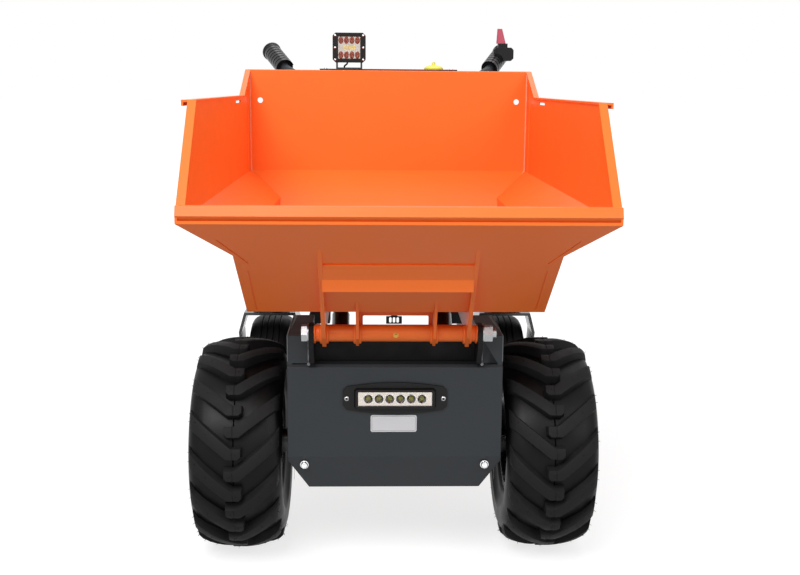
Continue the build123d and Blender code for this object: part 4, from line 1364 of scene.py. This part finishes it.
class DUMPER_OT_grips(bpy.types.Operator):
    """Wind the spiral wrap round both bars"""

    bl_idname = "dumper.grips"
    bl_label = "Grips"

    def execute(self, context):
        for side, tag in SIDES:
            start = on_side(GRIP_FROM, side)
            end = on_side(GRIP_TO, side)
            length = (end - start).length
            nylon = finish("wrapped_nylon")
            wrap = piece_from(f"spiral_wrap_{tag}", [(0, 0, 0), (1, 0, 0), (0, 1, 0)], [(0, 1, 2)], nylon)
            grown(
                wrap,
                "coil",
                Turns=length / (WRAP_PITCH * MM),
                Radius=WRAP_RADIUS * MM,
                Length=length,
                Width=WRAP_WIDTH * MM,
                Thickness=WRAP_THICKNESS * MM,
                Finish=nylon,
            )
            turn = Vector((0, 0, 1)).rotation_difference(end - start).to_matrix().to_4x4()
            wrap.data.transform(Matrix.Translation(start) @ turn)
            ring = turned(f"wrap_end_{tag}", WRAP_END, 32, nylon)
            face = Vector((1, 0, 0)).rotation_difference(end - start).to_matrix().to_4x4()
            ring.data.transform(Matrix.Translation(end) @ face)
            join_into(wrap, [ring])
            tidy_mesh(wrap.data, 40.0)
            ride(wrap, "chassis", "grip_wrap")
        return {"FINISHED"}


# ------------------------------------------------------------------ fasteners

COVER_FRONT = -505.0  # y of the front cover's face
# Rows of x, y, z and facing, in millimetres
COVER_BOLTS = [(side * 185.0, COVER_FRONT, 235.0, *FACING_FRONT) for side, _ in SIDES]
BAR_SCREWS = [(side * 98.0, -510.0, 377.0, *FACING_FRONT) for side, _ in SIDES]
POST_X = 176.0
SWIVEL_Y = 434.0
# Middle of the cylinder in x and y, and of the crankshaft in y and z
CYLINDER = (-20.0, 600.0)
CRANK = (588.0, 516.0)
AXLE_NUT_REACH = 91.0  # from the caster wheel's middle
WHEEL_NUTS = 5
WHEEL_NUT_CIRCLE = 60.0  # radius
WHEEL_NUT_REACH = 6.0  # from the drive wheel's middle
# Domed cap over a cover bolt, socket of a screw and grease nipple: distance out, radius
BOLT_CAP = ((0.0, 0.0), (0.0, 8.6), (1.2, 8.6), (1.2, 7.4), (3.6, 7.2), (6.0, 5.8), (7.4, 3.2), (8.0, 0.0))
# The socket is a black plug in the screw's dome: painted shade in the socket
SCREW_SOCKET = ((1.6, 0.0), (1.6, 2.3), (2.6, 2.4), (2.6, 0.0))
NIPPLE = ((0.0, 0.0), (0.0, 5.2), (3.0, 5.2), (3.0, 2.6), (5.0, 2.2), (6.0, 3.0), (7.4, 2.2), (7.6, 0.0))


def chassis_bolts():
    """Bolts of the casters' pads and the engine deck."""
    spots = []
    for side, _ in SIDES:
        for along in (-42.0, 42.0):
            for across in (-36.0, 36.0):
                spots.append((side * CASTER_CENTRE.x + across, SWIVEL_Y + along, 384.0, 0, 0, 1))
        for along in (455.0, 485.0, 660.0):
            spots.append((side * 190.0, along, 422.0, 0, 0, 1))
    return spots


def console_screws():
    """Low screws that hold the console plate on its posts."""
    return [(side * POST_X, along, 1045.0, 0, 0, 1) for side, _ in SIDES for along in (470.0, 620.0)]


def engine_bolts():
    """Bolts of the cylinder head, the shroud and the pump."""
    spots = []
    for across in (-1.0, 1.0):
        for along in (-1.0, 1.0):
            spots.append((CYLINDER[0] + across * 42.0, CYLINDER[1] + along * 42.0, 681.0, 0, 0, 1))
            spots.append((-152.0, CRANK[0] + across * 78.0, CRANK[1] + along * 40.0, -1, 0, 0))
            spots.append((172.0, CRANK[0] + across * 36.0, CRANK[1] + along * 28.0, 1, 0, 0))
    return spots


def lamp_screws():
    """Screws round the work lamp's face."""
    low, _, middle = in_mm(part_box("work_lamp"))
    return [
        (middle.x + side * 39.0, low.y, middle.z + row * 33.0, *FACING_FRONT)
        for side, _ in SIDES
        for row in (-1, 0, 1)
    ]


class DUMPER_OT_fasteners(bpy.types.Operator):
    """Set the bolts, nuts, screws and the grease nipple"""

    bl_idname = "dumper.fasteners"
    bl_label = "Fasteners"

    def execute(self, context):
        settings = context.scene.dumper_fasteners
        hexagon = hex_head(settings.across / MM, settings.height / MM)
        nut = hex_head(19.0, 9.0, 3.0)
        cap = turned("cap", BOLT_CAP, 20, None, closed=False)
        screw = dome_head(5.4, 2.8)
        socket = turned("socket", SCREW_SOCKET, 6, None, closed=False)
        lamp_screw = dome_head(3.0, 1.4)
        groups = [
            ("cover_bolts", cap, COVER_BOLTS, "chassis", "bright_chrome"),
            ("light_bar_screws", screw, BAR_SCREWS, "chassis", "zinc_plate"),
            # Black plugs in the screw heads: painted shade in the sockets
            ("light_bar_sockets", socket, BAR_SCREWS, "chassis", "brushed_black_paint"),
            ("work_lamp_screws", lamp_screw, lamp_screws(), "chassis", "bright_chrome"),
            ("console_screws", screw, console_screws(), "chassis", "zinc_plate"),
            ("frame_bolts", hexagon, chassis_bolts(), "chassis", "zinc_plate"),
            ("engine_bolts", hexagon, engine_bolts(), "chassis", "zinc_plate"),
        ]
        for side, tag in SIDES:
            axle = CASTER_CENTRE
            ends = [
                (side * (axle.x + way * AXLE_NUT_REACH), axle.y, axle.z, side * way, 0, 0)
                for way in (-1.0, 1.0)
            ]
            groups.append((f"caster_axle_nuts_{tag}", nut, ends, f"caster_{tag}", "zinc_plate"))
            studs = []
            for step in range(WHEEL_NUTS):
                turn = 2.0 * math.pi * step / WHEEL_NUTS
                y = FRONT_CENTRE.y + WHEEL_NUT_CIRCLE * math.cos(turn)
                z = FRONT_CENTRE.z + WHEEL_NUT_CIRCLE * math.sin(turn)
                studs.append((side * (FRONT_CENTRE.x + WHEEL_NUT_REACH), y, z, side, 0, 0))
            groups.append((f"wheel_nuts_{tag}", nut, studs, f"front_wheel_{tag}", "zinc_plate"))
        for name, part, spots, body, coat in groups:
            ride(copies(name, part, spots, finish(coat)), body, "zinc_steel")
        for part in (hexagon, nut, cap, screw, socket, lamp_screw):
            bpy.data.objects.remove(part)
        nipple = turned("grease_nipple", NIPPLE, 12, finish("brass"), closed=False)
        foot = (PIVOT - Vector((0.0, TUBE_RADIUS, 0.0))) * MM
        nipple.data.transform(Matrix.Translation(foot) @ Matrix.Rotation(-math.pi / 2.0, 4, "Z"))
        tidy_mesh(nipple.data, 30.0)
        ride(nipple, "skip", "zinc_steel")
        return {"FINISHED"}


# ------------------------------------------------------------------ cover plate

PLATE_MIDDLE = (-2.5, 322.8)
# Layers from the cover outwards: piece, half width and height, corner, thickness, finish
PLATE_LAYERS = (
    ("cover_plate", 47.0, 17.8, 4.0, 0.5, "cast_vinyl"),
    ("cover_plate_line", 44.6, 15.4, 2.6, 0.1, "vinyl_keyline"),
    ("cover_plate_field", 44.0, 14.8, 2.2, 0.1, "cast_vinyl"),
)


def rounded_outline(half_wide, half_high, corner):
    """Corners of a rounded rectangle round the plate's middle: x, z."""
    outline = []
    for x_way, z_way, first in ((1, 1, 0), (-1, 1, 90), (-1, -1, 180), (1, -1, 270)):
        for step in range(5):
            turn = math.radians(first + step * 22.5)
            x = PLATE_MIDDLE[0] + x_way * (half_wide - corner) + corner * math.cos(turn)
            z = PLATE_MIDDLE[1] + z_way * (half_high - corner) + corner * math.sin(turn)
            outline.append((x, z))
    return outline


def thin_plate(name, outline, back, front, material):
    """A flat plate with the given outline, facing -Y."""
    count = len(outline)
    points = [(x, depth, z) for depth in (back, front) for x, z in outline]
    faces = [tuple(range(count)), tuple(range(2 * count - 1, count - 1, -1))]
    faces += [(step, (step + 1) % count, count + (step + 1) % count, count + step) for step in range(count)]
    return piece_from(name, points, faces, material)


class DUMPER_OT_cover_plate(bpy.types.Operator):
    """Stick the bare plate on the front cover"""

    bl_idname = "dumper.cover_plate"
    bl_label = "Cover plate"

    def execute(self, context):
        back = COVER_FRONT
        for name, half_wide, half_high, corner, thick, coat in PLATE_LAYERS:
            outline = rounded_outline(half_wide, half_high, corner)
            plate = thin_plate(name, outline, back, back - thick, finish(coat))
            tidy_mesh(plate.data, 30.0)
            ride(plate, "chassis", "zinc_steel")
            back -= thick
        return {"FINISHED"}


# ------------------------------------------------------------------ subframe and filler cap

# Corner of the bulkhead that lies past the cover's slant, on the right side: x, z
SLANT_CORNER = ((172.0, 180.0), (207.9, 180.0), (207.9, 234.0))
CUT_FRONT = -486.0
CUT_BACK = -468.0
# Domed cap: share of its height, share of its radius
CAP_DOME = (
    (0.0, 0.0),
    (0.0, 1.0),
    (0.2, 1.0),
    (0.36, 0.9),
    (0.52, 0.62),
    (0.62, 0.2),
    (0.95, 0.15),
    (1.0, 0.0),
)


class DUMPER_OT_subframe(bpy.types.Operator):
    """Cut the bulkhead's lower corners along the cover's slant"""

    bl_idname = "dumper.subframe"
    bl_label = "Subframe"

    def execute(self, context):
        source = NODES["front_subframe"]
        mesh = source.data.copy()
        piece = add_object("subframe_plates", mesh)
        tidy_mesh(mesh, 30.0)
        mesh.materials.clear()
        mesh.materials.append(finish("powder_coat_slate"))
        cutters = []
        for side, _ in SIDES:
            corner = [(side * x, z) for x, z in SLANT_CORNER]
            cutter = thin_plate("cutter", corner, CUT_FRONT, CUT_BACK, None)
            tidy_mesh(cutter.data)
            cutters.append(cutter)
        join_into(cutters[0], cutters[1:])
        cut = piece.modifiers.new("Corners", "BOOLEAN")
        cut.object = cutters[0]
        cut.solver = "EXACT"
        keep_result(piece, cut)
        bpy.data.objects.remove(cutters[0])
        tidy_mesh(piece.data, 30.0)
        ride(piece, "chassis", "chassis_paint", "front_subframe")
        return {"FINISHED"}


class DUMPER_OT_filler_cap(bpy.types.Operator):
    """Screw the domed cap on the oil tank"""

    bl_idname = "dumper.filler_cap"
    bl_label = "Filler cap"

    def execute(self, context):
        low, high, middle = in_mm(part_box("filler_cap"))
        radius = (high.x - low.x) / 2.0
        rise = high.z - low.z
        outline = [(rise * up, radius * out) for up, out in CAP_DOME]
        cap = turned("filler_dome", outline, 40, finish("moulded_pvc_yellow"), closed=False)
        seat = Vector((middle.x, middle.y, low.z)) * MM
        cap.data.transform(Matrix.Translation(seat) @ Matrix.Rotation(-math.pi / 2.0, 4, "Y"))
        tidy_mesh(cap.data, 30.0)
        ride(cap, "chassis", "yellow_plastic", "filler_cap")
        return {"FINISHED"}


# ------------------------------------------------------------------ stage

# Metres from here on
FLOOR_REACH = 60.0
FLOOR_DROP = 0.001  # keeps the floor clear of the wheels
FADE_START = 1.2
FADE_END = 4.0
CAMERA_SPOT = (-0.0541, -2.6130, 1.0014)
# Degrees: about the vertical, below level, about the line of sight
CAMERA_TURN = -1.696
CAMERA_DIP = 10.642
CAMERA_ROLL = 0.456
LIGHT_AIM = Vector((0.0, 0.0, 0.55))
# Soft boxes: setting that holds the power, size, place
SOFT_BOXES = (
    ("key", 2.4, (-1.3, -3.3, 3.7)),
    ("fill", 2.0, (2.4, -3.0, 2.6)),
    ("top", 3.0, (0.2, 1.4, 3.8)),
)


def backdrop_rays(tree):
    """1 for the rays that see the backdrop itself: straight, mirrored and through glass."""
    path = add_node(tree, "ShaderNodeLightPath").outputs
    either = maths(tree, "MAXIMUM", path["Is Camera Ray"], path["Is Glossy Ray"])
    return maths(tree, "MAXIMUM", either, path["Is Transmission Ray"])


def matt_floor_paint(share, glow):
    """Matt white studio paint: throws back part of the light and fades to pure white with distance."""
    paint = bpy.data.materials.new("matt_floor_paint")
    tree = clear_tree(paint)
    place = add_node(tree, "ShaderNodeTexCoord")
    where = place.outputs["Object"]
    cloud = add_node(tree, "ShaderNodeTexNoise", {"Vector": where, "Scale": 1.5, "Detail": 2.0})
    tones = {0: cloud.outputs[0], 6: shade((share,) * 3, 0.97), 7: shade((share,) * 3, 1.03)}
    tone = add_node(tree, "ShaderNodeMix", tones, data_type="RGBA")
    matt = add_node(tree, "ShaderNodeBsdfDiffuse", {"Color": tone.outputs[2]})
    away = add_node(tree, "ShaderNodeVectorMath", {0: where}, operation="LENGTH")
    fade = {"From Min": FADE_START, "From Max": FADE_END, "To Min": glow, "To Max": 1.0}
    far = add_node(tree, "ShaderNodeMapRange", {"Value": away.outputs["Value"], **fade})
    lift = maths(tree, "MULTIPLY", backdrop_rays(tree), far.outputs[0])
    bright = add_node(tree, "ShaderNodeEmission", {"Strength": lift})
    lit = add_node(tree, "ShaderNodeAddShader", {0: matt.outputs[0], 1: bright.outputs[0]})
    add_node(tree, "ShaderNodeOutputMaterial", {"Surface": lit.outputs[0]})
    return paint


class DUMPER_OT_stage(bpy.types.Operator):
    """Set the camera, the floor and the soft lights"""

    bl_idname = "dumper.stage"
    bl_label = "Stage"

    def execute(self, context):
        settings = context.scene.dumper_stage
        lens = bpy.data.cameras.new("camera")
        lens.lens = settings.lens
        lens.sensor_width = 36.0
        lens.clip_start = 0.05
        lens.clip_end = 200.0
        camera = add_object("camera", lens)
        camera.matrix_world = (
            Matrix.Translation(CAMERA_SPOT)
            @ Matrix.Rotation(math.radians(CAMERA_TURN), 4, "Z")
            @ Matrix.Rotation(math.radians(90.0 - CAMERA_DIP), 4, "X")
            @ Matrix.Rotation(math.radians(CAMERA_ROLL), 4, "Z")
        )
        context.scene.camera = camera

        for name, size, spot in SOFT_BOXES:
            light = bpy.data.lights.new(f"{name}_box", "AREA")
            light.energy = getattr(settings, name)
            light.size = size
            lamp = add_object(light.name, light)
            lamp.location = spot
            lamp.rotation_euler = (LIGHT_AIM - Vector(spot)).to_track_quat("-Z", "Y").to_euler()

        world = bpy.data.worlds.new("pale_room")
        tree = clear_tree(world)
        seen = backdrop_rays(tree)
        room = add_node(tree, "ShaderNodeBackground", {"Color": (1, 1, 1, 1), "Strength": settings.room})
        white = add_node(tree, "ShaderNodeBackground", {"Color": (1, 1, 1, 1), "Strength": 1.0})
        both = add_node(tree, "ShaderNodeMixShader", {0: seen, 1: room.outputs[0], 2: white.outputs[0]})
        add_node(tree, "ShaderNodeOutputWorld", {"Surface": both.outputs[0]})
        context.scene.world = world

        reach = FLOOR_REACH / MM
        drop = FLOOR_DROP / MM
        corners = [(x * reach, y * reach, -drop) for x, y in ((-1, -1), (1, -1), (1, 1), (-1, 1))]
        floor = piece_from("floor", corners, [(0, 1, 2, 3)], matt_floor_paint(settings.floor, settings.glow))
        context.scene.view_settings.view_transform = "Standard"
        return {"FINISHED"}


# ------------------------------------------------------------------ add-on


class DUMPER_PT_panel(bpy.types.Panel):
    """Lists the pieces of the dumper and their settings"""

    bl_idname = "DUMPER_PT_panel"
    bl_label = "Site Dumper"
    bl_space_type = "VIEW_3D"
    bl_region_type = "UI"
    bl_category = "Dumper"

    def draw(self, context):
        for name, _ in SETTINGS:
            box = self.layout.box()
            group = getattr(context.scene, name)
            for prop in group.bl_rna.properties:
                if prop.identifier not in {"rna_type", "name"}:
                    box.prop(group, prop.identifier)
        for operator in OPERATORS:
            self.layout.operator(operator.bl_idname)


SETTINGS = (
    ("dumper_colours", DumperColours),
    ("dumper_tread", DumperTread),
    ("dumper_welds", DumperWelds),
    ("dumper_fasteners", DumperFasteners),
    ("dumper_lamps", DumperLamps),
    ("dumper_stage", DumperStage),
)
OPERATORS = (
    DUMPER_OT_stage,
    DUMPER_OT_frame_finishes,
    DUMPER_OT_drive_tyres,
    DUMPER_OT_caster_tyres,
    DUMPER_OT_welds,
    DUMPER_OT_light_bar,
    DUMPER_OT_work_lamp,
    DUMPER_OT_grips,
    DUMPER_OT_fasteners,
    DUMPER_OT_cover_plate,
    DUMPER_OT_subframe,
    DUMPER_OT_filler_cap,
)


def register():
    """Register the settings, the operators and the panel."""
    for name, group in SETTINGS:
        bpy.utils.register_class(group)
        setattr(bpy.types.Scene, name, PointerProperty(type=group))
    for operator in OPERATORS:
        bpy.utils.register_class(operator)
    bpy.utils.register_class(DUMPER_PT_panel)


def unregister():
    """Take back what register has added."""
    bpy.utils.unregister_class(DUMPER_PT_panel)
    for operator in reversed(OPERATORS):
        bpy.utils.unregister_class(operator)
    for name, group in reversed(SETTINGS):
        delattr(bpy.types.Scene, name)
        bpy.utils.unregister_class(group)


def main():
    """Build the whole dumper on its frame."""
    register()
    mix_finishes(bpy.context.scene.dumper_colours)
    TREES.update(copies=copies_tree(), ring=ring_tree(), bead=bead_tree(), coil=coil_tree())
    for operator in OPERATORS:
        group, name = operator.bl_idname.split(".")
        getattr(getattr(bpy.ops, group), name)()


if __name__ == "__main__":
    main()
